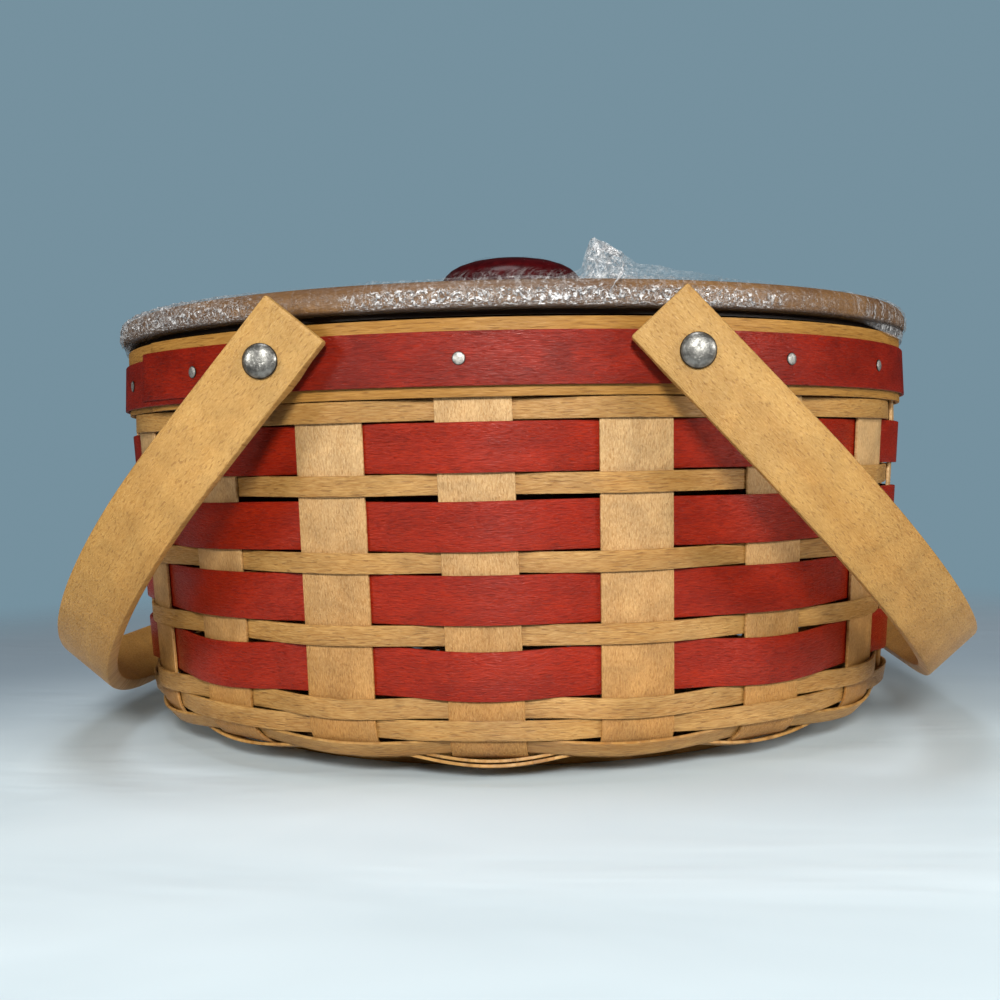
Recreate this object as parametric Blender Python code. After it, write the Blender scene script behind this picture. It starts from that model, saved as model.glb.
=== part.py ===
"""A round splint pie basket with two swing handles and a knobbed wooden lid.

Metres, +Z up. The origin is the centre of the foot hoop where it stands on the table. The front of
the basket faces -Y, and each handle swings on two rivets whose axis runs from front to back.
"""

import math

import bmesh
import bpy
from mathutils import Matrix, Vector

# Driving sizes of the basket
RIM_RADIUS = 0.1652
CORNER_RADIUS = 0.013
WALL_LEAN = math.radians(3.6)
FLOOR_HEIGHT = 0.0079
SEAT = 0.0003

# Upright splints: each long splint crosses the floor and makes two of the stakes
STAKE_COUNT = 20
STAKE_WIDTH = 0.0254
STAKE_THICKNESS = 0.0012
WAIST_WIDTH = 0.008
WAIST_THICKNESS = 0.0007
WAIST_REACH = 0.027
WAIST_EASE = 0.018
TAPER_MARGIN = 0.0313
CROSSING_HEIGHT = 0.0012
STAKE_SHORTFALL = 0.0006
CORNER_STEPS = 9

# Woven rows of the wall, from the floor up
WEAVER_THICKNESS = 0.0011
RED_ROW = 0.0166
NARROW_ROW = 0.0071
ROW_GAP = 0.0003
WINDOW_GAP = 0.0017
FIRST_ROW_START = -0.00766
PLATEAU_MARGIN = 0.0009
ROW_PLAN = ["narrow"] * 5 + ["red", "narrow", "red", "narrow", "red", "window", "narrow", "red", "narrow"]

# Spiral weaver of the floor
FLOOR_WEAVER_WIDTH = 0.0096
FLOOR_WEAVER_GAP = 0.0008
FLOOR_WEAVER_INNER = 0.051
FLOOR_MARGIN = 0.0005

# Foot hoop
FOOT_INSET = 0.018
FOOT_THICKNESS = 0.0033

# Rim bands
BAND_HEIGHT = 0.0254
BAND_THICKNESS = 0.0015
INNER_BAND_THICKNESS = 0.0018
TRIM_HEIGHT = 0.0176
TRIM_THICKNESS = 0.0011
TRIM_DROP = 0.0040
TRIM_FLARE = 0.0006
TRIM_CLIMB = 0.0021
RING_SIDES = 60
LAP_STEPS = 4
LAP_TURN = math.radians(15.6)
LAP_FALL = 0.012
LAP_START_SHARE = 0.45
LAP_END_SHARE = 0.55
BAND_LAP_END = math.radians(-51.0)
TRIM_LAP_END = math.radians(-52.4)

# Tacks in the red trim, counted round from the front
TACK_ANGLES = [math.radians(angle) for angle in (-2, 39, 59, 90, 121, 180, -121, -90, -59, -39)]
TACK_HEAD_RADIUS = 0.0022
TACK_HEAD_HEIGHT = 0.0007
TACK_SHANK_RADIUS = 0.0008
TACK_SIDES = 8
TACK_DOME_SHARES = [(0, 1), (0.67, 0.75)]

# Swing handles, bent from flat strip
PIVOT_TURN = math.radians(25.07)
PIVOT_DROP = 0.0125
HANDLE_WIDTH = 0.0245
HANDLE_THICKNESS = 0.006
HANDLE_LENGTH = 0.1565
HANDLE_TAIL = 0.0178
HANDLE_STRAIGHT = 0.042
CROWN_FLAT = 0.022
CROWN_STEPS = 9
HANDLE_EASE = 0.0007
LEG_CLEARANCE = 0.0004
EAR_HALF_LENGTH = 0.003
EAR_SLOPE_LENGTH = 0.007
REST_CLEARANCE = 0.0008
RIGHT_HANG_EXTRA = math.radians(2.7)

# Handle rivets with their spacers and burrs
RIVET_SHANK_RADIUS = 0.0021
RIVET_HEAD_RADIUS = 0.0058
RIVET_HEAD_HEIGHT = 0.0025
RIVET_DOME_SHARES = [(0, 1), (0.45, 0.9), (0.83, 0.55)]
RIVET_TAIL_RADIUS = 0.0031
RIVET_TAIL_HEIGHT = 0.0008
RIVET_TAIL_SHARE = 0.67
SPACER_RADIUS = 0.0048
BURR_RADIUS = 0.0046
BURR_LEAST = 0.0010
RIVET_SIDES = 16

# Lid, its locating ring, knob and screw
LID_OVERHANG = 0.0004
LID_SIDES = 48
LID_THICKNESS = 0.011
LID_EASE = 0.0022
LID_EASE_SHARE = 0.3
LID_RING_CLEARANCE = 0.0014
LID_RING_WIDTH = 0.006
LID_RING_DEPTH = 0.0072
KNOB_RADIUS = 0.031
KNOB_HEIGHT = 0.0312
KNOB_FOOT_RADIUS = 0.0175
KNOB_NECK_RADIUS = 0.0125
KNOB_SIDES = 24
KNOB_CAP_SHARES = [(0, 1), (0.42, 0.965), (0.76, 0.86), (0.97, 0.67), (1, 0.53), (0.93, 0.44)]
KNOB_NECK_SHARE = 0.27
KNOB_FOOT_SHARE = 0.06
SCREW_RADIUS = 0.0022
SCREW_HEAD_RADIUS = 0.0045
SCREW_HEAD_HEIGHT = 0.0028
SCREW_HEAD_SHARE = 0.8
SCREW_REACH = 0.014
SCREW_SIDES = 12
HOLE_EASE = 0.0003

# Shrink film round the lid and the knob
FILM_THICKNESS = 0.0005
FILM_LIP = 0.008
FILM_TENT_RADIUS = 0.044
TUFT_HEIGHT = 0.017
TUFT_INSET = 0.0246
TUFT_WIDTH = 0.021
TUFT_ANGLE = math.radians(13.0)

OVERRUN = 0.004
SMOOTH_ANGLE = math.radians(32.0)


def material(name, colour, roughness, metallic=0.0):
    made = bpy.data.materials.new(name)
    made.use_nodes = True
    shader = made.node_tree.nodes["Principled BSDF"]
    shader.inputs["Base Color"].default_value = (*colour, 1.0)
    shader.inputs["Roughness"].default_value = roughness
    shader.inputs["Metallic"].default_value = metallic
    return made


def finished(name, mesh, finish, parent=None, smooth=False):
    """A new object of this mesh, with its faces turned outwards."""
    mesh.update()
    mesh.materials.append(finish)
    if smooth:
        mesh.shade_smooth()
        mesh.set_sharp_from_angle(angle=SMOOTH_ANGLE)
    made = bpy.data.objects.new(name, mesh)
    bpy.context.scene.collection.objects.link(made)
    made.parent = parent
    return made


def empty(name, place):
    made = bpy.data.objects.new(name, None)
    made.empty_display_size = BAND_HEIGHT
    made.location = place
    bpy.context.scene.collection.objects.link(made)
    return made


def outward(turn):
    """The level direction at this turn round from the front, positive towards +X."""
    return Vector((math.sin(turn), -math.cos(turn), 0.0))


def along(turn):
    """The level direction of a hoop at this turn."""
    return Vector((math.cos(turn), math.sin(turn), 0.0))


def chord(radius, distance):
    """How far a circle lies from a centre line at this distance along it."""
    return math.sqrt(radius**2 - distance**2)


def prism(name, sections, closed):
    """A mesh whose outline passes through each of these sections, which are rings of points."""
    bm = bmesh.new()
    rings = [[bm.verts.new(point) for point in section] for section in sections]
    following = rings[1:] + rings[:1] if closed else rings[1:]
    for ring, next_ring in zip(rings, following):
        for index in range(len(ring)):
            other = (index + 1) % len(ring)
            bm.faces.new((ring[index], ring[other], next_ring[other], next_ring[index]))
    if not closed:
        bm.faces.new(rings[0])
        bm.faces.new(rings[-1])
    bmesh.ops.recalc_face_normals(bm, faces=bm.faces)
    mesh = bpy.data.meshes.new(name)
    bm.to_mesh(mesh)
    bm.free()
    return mesh


def strip(name, stations, thickness, closed):
    """A flat splint that follows stations of (centre, half its width as a vector, thickness share)."""
    centres = [station[0] for station in stations]
    sections = []
    for index, (centre, half, share) in enumerate(stations):
        before = centres[index - 1] if closed or index else centre
        after = centres[(index + 1) % len(centres)] if closed or index + 1 < len(centres) else centre
        steps = [step.normalized() for step in (centre - before, after - centre) if step.length]
        course = sum(steps, Vector()).normalized()
        through = course.cross(half).normalized() * (thickness * share / 2)
        through /= course.dot(steps[0])
        sections.append([centre - half - through, centre + half - through, centre + half + through, centre - half + through])
    return prism(name, sections, closed)


def turned(name, profile, sides, closed=False):
    """A mesh made by turning a profile of (radius, height) points round the Z axis."""
    bm = bmesh.new()
    points = [bm.verts.new((radius, 0.0, height)) for radius, height in profile]
    edges = [bm.edges.new(pair) for pair in zip(points, points[1:])]
    if closed:
        edges.append(bm.edges.new((points[-1], points[0])))
    bmesh.ops.spin(
        bm, geom=points + edges, cent=(0, 0, 0), axis=(0, 0, 1), angle=math.tau, steps=sides, use_merge=True
    )
    bmesh.ops.remove_doubles(bm, verts=bm.verts, dist=SEAT / 100)
    bmesh.ops.recalc_face_normals(bm, faces=bm.faces)
    mesh = bpy.data.meshes.new(name)
    bm.to_mesh(mesh)
    bm.free()
    return mesh


def cut(piece, cutter):
    made = piece.modifiers.new("Holes", "BOOLEAN")
    made.operation = "DIFFERENCE"
    made.object = cutter


def drill(name, holes, sides):
    """A hidden cutter of straight pins, one for each (start, end, radius)."""
    bm = bmesh.new()
    for start, end, radius in holes:
        course = end - start
        place = Matrix.Translation((start + end) / 2) @ course.to_track_quat("Z", "Y").to_matrix().to_4x4()
        bmesh.ops.create_cone(
            bm, cap_ends=True, segments=sides, radius1=radius, radius2=radius, depth=course.length, matrix=place
        )
    mesh = bpy.data.meshes.new(name)
    bm.to_mesh(mesh)
    bm.free()
    made = bpy.data.objects.new(name, mesh)
    bpy.context.scene.collection.objects.link(made)
    made.hide_render = True
    made.display_type = "WIRE"
    return made


def facet(sides):
    """How much larger a ring's corners are than its flats."""
    return 1 / math.cos(math.pi / sides)


# Start from an empty scene
for old in list(bpy.data.objects):
    bpy.data.objects.remove(old)

maple = material("maple_splint", (0.62, 0.40, 0.17), 0.55)
red_stain = material("red_stained_splint", (0.36, 0.035, 0.03), 0.55)
handle_wood = material("maple_handle", (0.60, 0.36, 0.13), 0.45)
lid_wood = material("lid_wood", (0.45, 0.25, 0.10), 0.5)
knob_paint = material("dark_red_knob", (0.12, 0.008, 0.01), 0.25)
steel = material("antique_steel", (0.33, 0.34, 0.33), 0.35, 1.0)
tack_steel = material("tack_steel", (0.45, 0.45, 0.44), 0.4, 1.0)
film_clear = material("clear_film", (0.80, 0.82, 0.85), 0.12)

basket = empty("basket", (0, 0, 0))

# The stake's middle surface, as a path in radius and height from the floor to the rim
band_sides = facet(RING_SIDES)
trim_inner = RIM_RADIUS - TRIM_FLARE / 2 - TRIM_THICKNESS
band_inner = trim_inner - SEAT - BAND_THICKNESS
stake_outer = chord(band_inner - SEAT, STAKE_WIDTH / 2)
stake_radius = stake_outer - STAKE_THICKNESS / 2
corner_sweep = math.pi / 2 - WALL_LEAN
corner_length = CORNER_RADIUS * corner_sweep


def row_height(kind):
    return {"red": RED_ROW, "narrow": NARROW_ROW, "window": WINDOW_GAP - ROW_GAP}[kind]


rows_length = FIRST_ROW_START + sum(row_height(kind) for kind in ROW_PLAN)
rows_length += ROW_GAP * (len(ROW_PLAN) - ROW_PLAN.count("window"))
kink_length = rows_length - NARROW_ROW - ROW_GAP * 3 / 2
wall_length = kink_length - corner_length
corner_end_radius = stake_radius - wall_length * math.sin(WALL_LEAN)
corner_centre = corner_end_radius - CORNER_RADIUS * math.cos(WALL_LEAN)
corner_end_height = FLOOR_HEIGHT + CORNER_RADIUS * (1 - math.sin(WALL_LEAN))
kink_height = corner_end_height + wall_length * math.cos(WALL_LEAN)
band_bottom = kink_height + rows_length - kink_length
rim_top = band_bottom + BAND_HEIGHT
trim_top = rim_top - TRIM_DROP
trim_bottom = trim_top - TRIM_HEIGHT
pivot_height = rim_top - PIVOT_DROP


def wall_place(length):
    """Radius, height and slope from level of the stakes at this length of wall above the floor."""
    if length < 0:
        return corner_centre + length, FLOOR_HEIGHT, 0.0
    if length < corner_length:
        slope = length / CORNER_RADIUS
        radius = corner_centre + CORNER_RADIUS * math.sin(slope)
        return radius, FLOOR_HEIGHT + CORNER_RADIUS * (1 - math.cos(slope)), slope
    if length < kink_length:
        run = length - corner_length
        radius = corner_end_radius + run * math.sin(WALL_LEAN)
        return radius, corner_end_height + run * math.cos(WALL_LEAN), corner_sweep
    return stake_radius, kink_height + length - kink_length, math.pi / 2


# Long splints, narrowed where they cross under the middle of the basket
taper_reach = corner_centre - TAPER_MARGIN


def stake_half_width(radius):
    share = min(max((radius - WAIST_REACH) / (taper_reach - WAIST_REACH), 0), 1)
    return (WAIST_WIDTH + (STAKE_WIDTH - WAIST_WIDTH) * share) / 2


def stake_share(radius):
    share = min(max((radius - WAIST_REACH) / (taper_reach - WAIST_REACH), 0), 1)
    return (WAIST_THICKNESS + (STAKE_THICKNESS - WAIST_THICKNESS) * share) / STAKE_THICKNESS


def half_splint(crossing):
    """Radius and height from the middle of the floor to the rim, for one half of a long splint."""
    route = [(WAIST_REACH, crossing), (WAIST_REACH + WAIST_EASE, FLOOR_HEIGHT), (taper_reach, FLOOR_HEIGHT)]
    lengths = [corner_length * step / CORNER_STEPS for step in range(CORNER_STEPS + 1)] + [kink_length]
    route += [wall_place(length)[:2] for length in lengths]
    return route + [(stake_radius, rim_top - STAKE_SHORTFALL)]


splint_count = STAKE_COUNT // 2
stake_pitch = math.tau / STAKE_COUNT
for index in range(splint_count):
    crossing = CROSSING_HEIGHT + index * (WAIST_THICKNESS + SEAT)
    turn = index * stake_pitch
    half_route = half_splint(crossing)
    route = [(-radius, height) for radius, height in reversed(half_route)] + half_route
    stations = [
        (
            outward(turn) * radius + Vector((0, 0, height)),
            along(turn) * stake_half_width(abs(radius)),
            stake_share(abs(radius)),
        )
        for radius, height in route
    ]
    mesh = strip(f"long_splint_{index + 1:02d}", stations, STAKE_THICKNESS, closed=False)
    finished(mesh.name, mesh, maple, basket)

# Woven rows: each hoop passes outside one stake and inside the next
weave_offset = (STAKE_THICKNESS + WEAVER_THICKNESS) / 2 + SEAT
facet_depth = CORNER_RADIUS * (1 - math.cos(corner_sweep / CORNER_STEPS / 2))


def woven_row(name, start, height, first_side, finish):
    """A closed hoop of this height that starts at this length of wall, outside the first stake or inside it."""
    radius, level, slope = wall_place(start + height / 2)
    rise = Vector((math.cos(slope), 0, math.sin(slope)))
    normal = Vector((math.sin(slope), 0, -math.cos(slope)))
    middle = Vector((radius, 0, level))
    sag = 0.0
    for end in (start, start + height):
        end_radius, end_level, _ = wall_place(end)
        sag = max(sag, -(Vector((end_radius, 0, end_level)) - middle).dot(normal))
    inside_extra = sag + (facet_depth if sag > 0 else 0)
    stations = []
    for index in range(STAKE_COUNT):
        turn = index * stake_pitch
        side = first_side if index % 2 == 0 else -first_side
        offset = weave_offset if side > 0 else -weave_offset - inside_extra
        reach = stake_half_width(radius) + PLATEAU_MARGIN
        centre = middle + normal * offset
        half = (outward(turn) * rise.x + Vector((0, 0, rise.z))) * (height / 2)
        for sign in (-1, 1):
            place = outward(turn) * centre.x + along(turn) * (sign * reach) + Vector((0, 0, centre.z))
            stations.append((place, half, 1.0))
    mesh = strip(name, stations, WEAVER_THICKNESS, closed=True)
    return finished(name, mesh, finish, basket)


start = FIRST_ROW_START
side = -1
made_rows = {"red": 0, "narrow": 0}
for kind in ROW_PLAN:
    height = row_height(kind)
    if kind != "window":
        made_rows[kind] += 1
        woven_row(f"{kind}_weaver_{made_rows[kind]}", start, height, side, red_stain if kind == "red" else maple)
        side = -side
        start += ROW_GAP
    start += height

# Spiral weaver of the floor, which steps over two stakes once in each round to keep the weave going
floor_offset = (STAKE_THICKNESS + WEAVER_THICKNESS) / 2 + SEAT
floor_pitch = FLOOR_WEAVER_WIDTH + FLOOR_WEAVER_GAP
floor_outer = corner_centre + FIRST_ROW_START - SEAT
floor_start = floor_outer - FLOOR_WEAVER_WIDTH / 2
floor_rounds = math.floor((floor_start - FLOOR_WEAVER_WIDTH / 2 - FLOOR_WEAVER_INNER) / floor_pitch)
stations = []
for step in range(floor_rounds * STAKE_COUNT):
    side = 1 if (step + step // STAKE_COUNT) % 2 else -1
    turn = step * stake_pitch
    radius = floor_start - floor_pitch * step / STAKE_COUNT
    reach = stake_half_width(radius + FLOOR_WEAVER_WIDTH / 2) + FLOOR_MARGIN
    for sign in (-1, 1):
        drift = floor_pitch * sign * reach / (math.tau * radius)
        place = outward(turn) * (radius - drift) + along(turn) * (sign * reach)
        place += Vector((0, 0, FLOOR_HEIGHT + side * floor_offset))
        stations.append((place, outward(turn) * (FLOOR_WEAVER_WIDTH / 2), 1.0))
mesh = strip("floor_weaver", stations, WEAVER_THICKNESS, closed=False)
finished(mesh.name, mesh, maple, basket)

# Foot hoop, which the whole basket stands on
foot_top = FLOOR_HEIGHT - floor_offset - WEAVER_THICKNESS / 2 - SEAT
foot_outer = corner_centre - FOOT_INSET
foot_inner = foot_outer - FOOT_THICKNESS
foot_profile = [(foot_outer, foot_top), (foot_outer, 0), (foot_inner, 0), (foot_inner, foot_top)]
mesh = turned("foot_hoop", foot_profile, RING_SIDES, closed=True)
finished(mesh.name, mesh, maple, basket, smooth=True)

# Rim: an inner band, an outer band and a red trim, the outer two with lapped ends
inner_band_outer = stake_radius - STAKE_THICKNESS / 2 - SEAT
inner_band_inner = inner_band_outer - INNER_BAND_THICKNESS


def lap_rise(thickness):
    """How much a lapped end stands proud of the rest of its band."""
    return SEAT + thickness * LAP_END_SHARE


def band_surface(turn):
    """Radius of the outer band's outside, which swells where its own ends lap."""
    fall = LAP_FALL / band_inner
    past = turn - BAND_LAP_END
    share = 1 - past / LAP_TURN if past > 0 else 1 + past / fall
    return band_inner + BAND_THICKNESS + lap_rise(BAND_THICKNESS) * min(max(share, 0), 1)


def band_base(turn):
    return band_inner


def trim_base(turn):
    return band_surface(turn) + SEAT


def lapped_band(name, base, corners, thickness, bottom, top, flare, climb, lap_end, finish):
    """A strip that climbs once round the basket and laps over its own start, with a bend at each corner."""
    lap = LAP_TURN
    runs = [lap * step / LAP_STEPS for step in range(LAP_STEPS)]
    runs += [lap + (math.tau - lap) * step / RING_SIDES for step in range(RING_SIDES)]
    runs += [math.tau + lap * step / LAP_STEPS for step in range(LAP_STEPS + 1)]
    for corner in corners:
        bend = (lap_end + lap - corner) % math.tau
        runs += [run for run in (bend, bend + math.tau) if run < math.tau + lap]
    sections = []
    for run in sorted(runs):
        turn = (lap_end + lap - run + math.pi) % math.tau - math.pi
        start_share = min(run / lap, 1)
        first = thickness * (LAP_START_SHARE + (1 - LAP_START_SHARE) * start_share)
        inner, depth = base(turn), first
        if run >= math.tau:
            over_share = (run - math.tau) / lap
            inner += thickness * (LAP_START_SHARE + (1 - LAP_START_SHARE) * over_share) + SEAT
            thin = thickness * (1 - LAP_START_SHARE) - SEAT
            depth = thin + (thickness * LAP_END_SHARE - thin) * over_share
        near, far = inner * band_sides, (inner + depth) * band_sides
        edge = [(near + flare, bottom), (far + flare, bottom), (far, top), (near, top)]
        sunk = climb * (1 - run / (math.tau + lap))
        sections.append([outward(turn) * radius + Vector((0, 0, height - sunk)) for radius, height in edge])
    mesh = prism(name, sections, closed=False)
    return finished(name, mesh, finish, basket)


outer_band = lapped_band(
    "rim_outer_band", band_base, [], BAND_THICKNESS, band_bottom, rim_top, 0, 0, BAND_LAP_END, maple
)
band_corners = [BAND_LAP_END - LAP_FALL / band_inner, BAND_LAP_END, BAND_LAP_END + LAP_TURN]
red_trim = lapped_band(
    "red_trim_band",
    trim_base,
    band_corners,
    TRIM_THICKNESS,
    trim_bottom,
    trim_top,
    TRIM_FLARE,
    TRIM_CLIMB,
    TRIM_LAP_END,
    red_stain,
)
inner_profile = [
    (inner_band_outer, rim_top),
    (inner_band_outer, band_bottom),
    (inner_band_inner, band_bottom),
    (inner_band_inner, rim_top),
]
mesh = turned("rim_inner_band", inner_profile, RING_SIDES, closed=True)
inner_band = finished(mesh.name, mesh, maple, basket, smooth=True)
trim_outer = (trim_inner + TRIM_FLARE + TRIM_THICKNESS) * band_sides

# Tacks that hold the trim, with their holes
tack_holes = []
tack_end = band_inner + SEAT


def trim_surface(turn):
    """Radius of the trim's outside half way up, which also swells where its own ends lap."""
    past = turn - TRIM_LAP_END
    lapped = lap_rise(TRIM_THICKNESS) * max(1 - past / LAP_TURN, 0) if past > 0 else 0
    return (trim_base(turn) + TRIM_THICKNESS + lapped) * band_sides + TRIM_FLARE / 2


def trim_middle(turn):
    """Height of the middle of the trim's outer layer."""
    share = (turn - TRIM_LAP_END) % math.tau / (math.tau + LAP_TURN)
    return (trim_top + trim_bottom) / 2 - TRIM_CLIMB * share


for number, turn in enumerate(TACK_ANGLES, 1):
    seat = trim_surface(turn) + SEAT
    profile = [(TACK_HEAD_RADIUS * wide, TACK_HEAD_HEIGHT * tall) for wide, tall in TACK_DOME_SHARES]
    profile += [
        (TACK_HEAD_RADIUS, 0),
        (TACK_SHANK_RADIUS, 0),
        (TACK_SHANK_RADIUS, tack_end - seat),
        (0, tack_end - seat),
    ]
    mesh = turned(f"trim_tack_{number:02d}", profile, TACK_SIDES)
    tack = finished(mesh.name, mesh, tack_steel, basket, smooth=True)
    level = Vector((0, 0, trim_middle(turn)))
    tack.location = outward(turn) * seat + level
    tack.rotation_euler = outward(turn).to_track_quat("Z", "Y").to_euler()
    inner_end = outward(turn) * (tack_end - SEAT * 2) + level
    outer_end = outward(turn) * (seat + OVERRUN) + level
    tack_holes.append((inner_end, outer_end, TACK_SHANK_RADIUS + SEAT))
tack_cutter = drill("tack_hole_cutter", tack_holes, TACK_SIDES)
cut(outer_band, tack_cutter)
cut(red_trim, tack_cutter)

# Lid sizes that the handles and the film are worked out from
lid_radius = RIM_RADIUS + LID_OVERHANG
film_radius = lid_radius + SEAT + FILM_THICKNESS
lid_bottom = rim_top + SEAT + FILM_THICKNESS + SEAT

# Swing handles on their two pivots each: a flat strip bent to an arch, thicker at the ears where the rivets pass
pivot_x = RIM_RADIUS * math.sin(PIVOT_TURN)
handle_reach = math.hypot(HANDLE_TAIL, HANDLE_WIDTH / 2)
leg_inner = chord(max(trim_outer, film_radius), pivot_x - handle_reach) + LEG_CLEARANCE
leg_middle = leg_inner + HANDLE_THICKNESS / 2
leg_outer = leg_inner + HANDLE_THICKNESS
ear_reach = math.hypot(EAR_HALF_LENGTH, HANDLE_WIDTH / 2)
ear_face = chord(trim_outer, pivot_x - ear_reach) + LEG_CLEARANCE


def arch_middle():
    """Points of the strip's middle line as (distance from the pivot, side from the centre), on one half."""
    depth = HANDLE_LENGTH - HANDLE_THICKNESS / 2 - HANDLE_STRAIGHT
    width = leg_middle - CROWN_FLAT
    points = [(-HANDLE_TAIL, leg_middle)]
    for step in range(CROWN_STEPS + 1):
        bend = math.pi / 2 * step / CROWN_STEPS
        points.append((HANDLE_STRAIGHT + depth * math.sin(bend), CROWN_FLAT + width * math.cos(bend)))
    return points


def arch_sides():
    """The strip's outer and inner outlines from the front tail round the crown to the back tail."""
    half = [Vector((side, distance)) for distance, side in arch_middle()]
    line = [Vector((-side, distance)) for side, distance in half] + half[::-1]
    outer, inner = [], []
    for index, point in enumerate(line):
        before = line[max(index - 1, 0)]
        after = line[min(index + 1, len(line) - 1)]
        course = (after - before).normalized()
        normal = Vector((-course.y, course.x))
        outer.append(point + normal * (HANDLE_THICKNESS / 2))
        inner.append(point - normal * (HANDLE_THICKNESS / 2))
    return outer, inner


def wall_reach(height):
    """Outside of the woven wall at this height."""
    length = 0.0
    step = CORNER_RADIUS / CORNER_STEPS
    while length < kink_length and wall_place(length)[1] < height:
        length += step
    return wall_place(length)[0] + weave_offset + WEAVER_THICKNESS / 2


def rest_clearance(hang):
    """Gap between the lower inner edge of the crown and the wall at this angle out from straight down."""
    length = HANDLE_LENGTH - HANDLE_THICKNESS
    across = HANDLE_WIDTH / 2
    x = pivot_x + length * math.sin(hang) - across * math.cos(hang)
    z = pivot_height - length * math.cos(hang) - across * math.sin(hang)
    return x - wall_reach(z)


low, high = 0.0, math.pi / 2
for _ in range(40):
    middle_hang = (low + high) / 2
    if rest_clearance(middle_hang) < REST_CLEARANCE:
        low = middle_hang
    else:
        high = middle_hang
rest_hang = high


def handle(name, side, hang):
    outer, inner = arch_sides()
    ears = []
    for end in (-1, 1):
        face, base = end * ear_face, end * leg_inner
        long_end = EAR_HALF_LENGTH + EAR_SLOPE_LENGTH
        ear = [(base, -long_end), (face, -EAR_HALF_LENGTH), (face, EAR_HALF_LENGTH), (base, long_end)]
        ears.append([Vector(point) for point in ear])
    inner_line = [inner[0], *ears[0], *inner[1:-1], *reversed(ears[1]), inner[-1]]
    outline = [*outer, *reversed(inner_line)]
    bm = bmesh.new()
    corners = [bm.verts.new((-HANDLE_WIDTH / 2, point.x, -point.y)) for point in outline]
    face = bm.faces.new(corners)
    pushed = bmesh.ops.extrude_face_region(bm, geom=[face])
    moved = [item for item in pushed["geom"] if isinstance(item, bmesh.types.BMVert)]
    bmesh.ops.translate(bm, verts=moved, vec=(HANDLE_WIDTH, 0, 0))
    bmesh.ops.recalc_face_normals(bm, faces=bm.faces)
    rim_edges = [edge for edge in bm.edges if abs(edge.verts[0].co.x - edge.verts[1].co.x) < SEAT]
    bmesh.ops.bevel(bm, geom=rim_edges, offset=HANDLE_EASE, segments=1, affect="EDGES")
    mesh = bpy.data.meshes.new(name)
    bm.to_mesh(mesh)
    bm.free()
    made = finished(name, mesh, handle_wood, basket, smooth=True)
    made.location = (side * pivot_x, 0, pivot_height)
    made.rotation_euler = (0, -side * hang, 0)
    return made


left_handle = handle("left_handle", -1, rest_hang)
right_handle = handle("right_handle", 1, rest_hang + RIGHT_HANG_EXTRA)

# Rivets, spacers and burrs, four of each
trim_reach = trim_outer + SEAT
burr_reach = inner_band_inner - SEAT
burr_face = chord(burr_reach, pivot_x + BURR_RADIUS) - BURR_LEAST
tail_seat = burr_face - SEAT
tail_end = tail_seat - RIVET_TAIL_HEIGHT
head_seat = leg_outer + SEAT
shank_hole = RIVET_SHANK_RADIUS + SEAT
spacer_face = ear_face - SEAT


def at_spacer_face(across):
    return spacer_face


def at_trim(across):
    return chord(trim_reach, across)


def at_inner_band(across):
    return chord(burr_reach, across)


def at_burr_face(across):
    return burr_face


def sleeve(name, side, end, radius, near, far, finish):
    """A short tube round a rivet, whose near and far ends lie at these distances for each place across."""
    bm = bmesh.new()
    rings = []
    for size, reach in ((radius, near), (radius, far), (shank_hole, far), (shank_hole, near)):
        ring = []
        for step in range(RIVET_SIDES):
            bend = math.tau * step / RIVET_SIDES
            x = pivot_x + size * math.cos(bend)
            ring.append(bm.verts.new((side * x, end * reach(x), pivot_height + size * math.sin(bend))))
        rings.append(ring)
    for ring, next_ring in zip(rings, rings[1:] + rings[:1]):
        for index in range(RIVET_SIDES):
            other = (index + 1) % RIVET_SIDES
            bm.faces.new((ring[index], ring[other], next_ring[other], next_ring[index]))
    bmesh.ops.recalc_face_normals(bm, faces=bm.faces)
    mesh = bpy.data.meshes.new(name)
    bm.to_mesh(mesh)
    bm.free()
    return finished(name, mesh, finish, basket, smooth=True)


rivet_profile = [(RIVET_HEAD_RADIUS * wide, RIVET_HEAD_HEIGHT * tall) for wide, tall in RIVET_DOME_SHARES]
rivet_profile += [
    (RIVET_HEAD_RADIUS, 0),
    (RIVET_SHANK_RADIUS, 0),
    (RIVET_SHANK_RADIUS, tail_seat - head_seat),
    (RIVET_TAIL_RADIUS, tail_seat - head_seat),
    (RIVET_TAIL_RADIUS * RIVET_TAIL_SHARE, tail_end - head_seat),
    (0, tail_end - head_seat),
]
rivet_holes = []
for side, side_name in ((-1, "left"), (1, "right")):
    for end, end_name in ((-1, "front"), (1, "back")):
        tag = f"{side_name}_{end_name}"
        mesh = turned(f"handle_rivet_{tag}", rivet_profile, RIVET_SIDES)
        rivet = finished(mesh.name, mesh, steel, basket, smooth=True)
        rivet.location = (side * pivot_x, end * head_seat, pivot_height)
        rivet.rotation_euler = (-end * math.pi / 2, 0, 0)
        sleeve(f"handle_spacer_{tag}", side, end, SPACER_RADIUS, at_spacer_face, at_trim, handle_wood)
        sleeve(f"rivet_burr_{tag}", side, end, BURR_RADIUS, at_inner_band, at_burr_face, steel)
        hole_start = Vector((side * pivot_x, end * (tail_end - OVERRUN), pivot_height))
        hole_end = Vector((side * pivot_x, end * (head_seat + OVERRUN), pivot_height))
        rivet_holes.append((hole_start, hole_end, shank_hole * facet(RIVET_SIDES)))
rivet_cutter = drill("rivet_hole_cutter", rivet_holes, RIVET_SIDES)
for piece in (outer_band, red_trim, inner_band, left_handle, right_handle):
    cut(piece, rivet_cutter)

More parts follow.
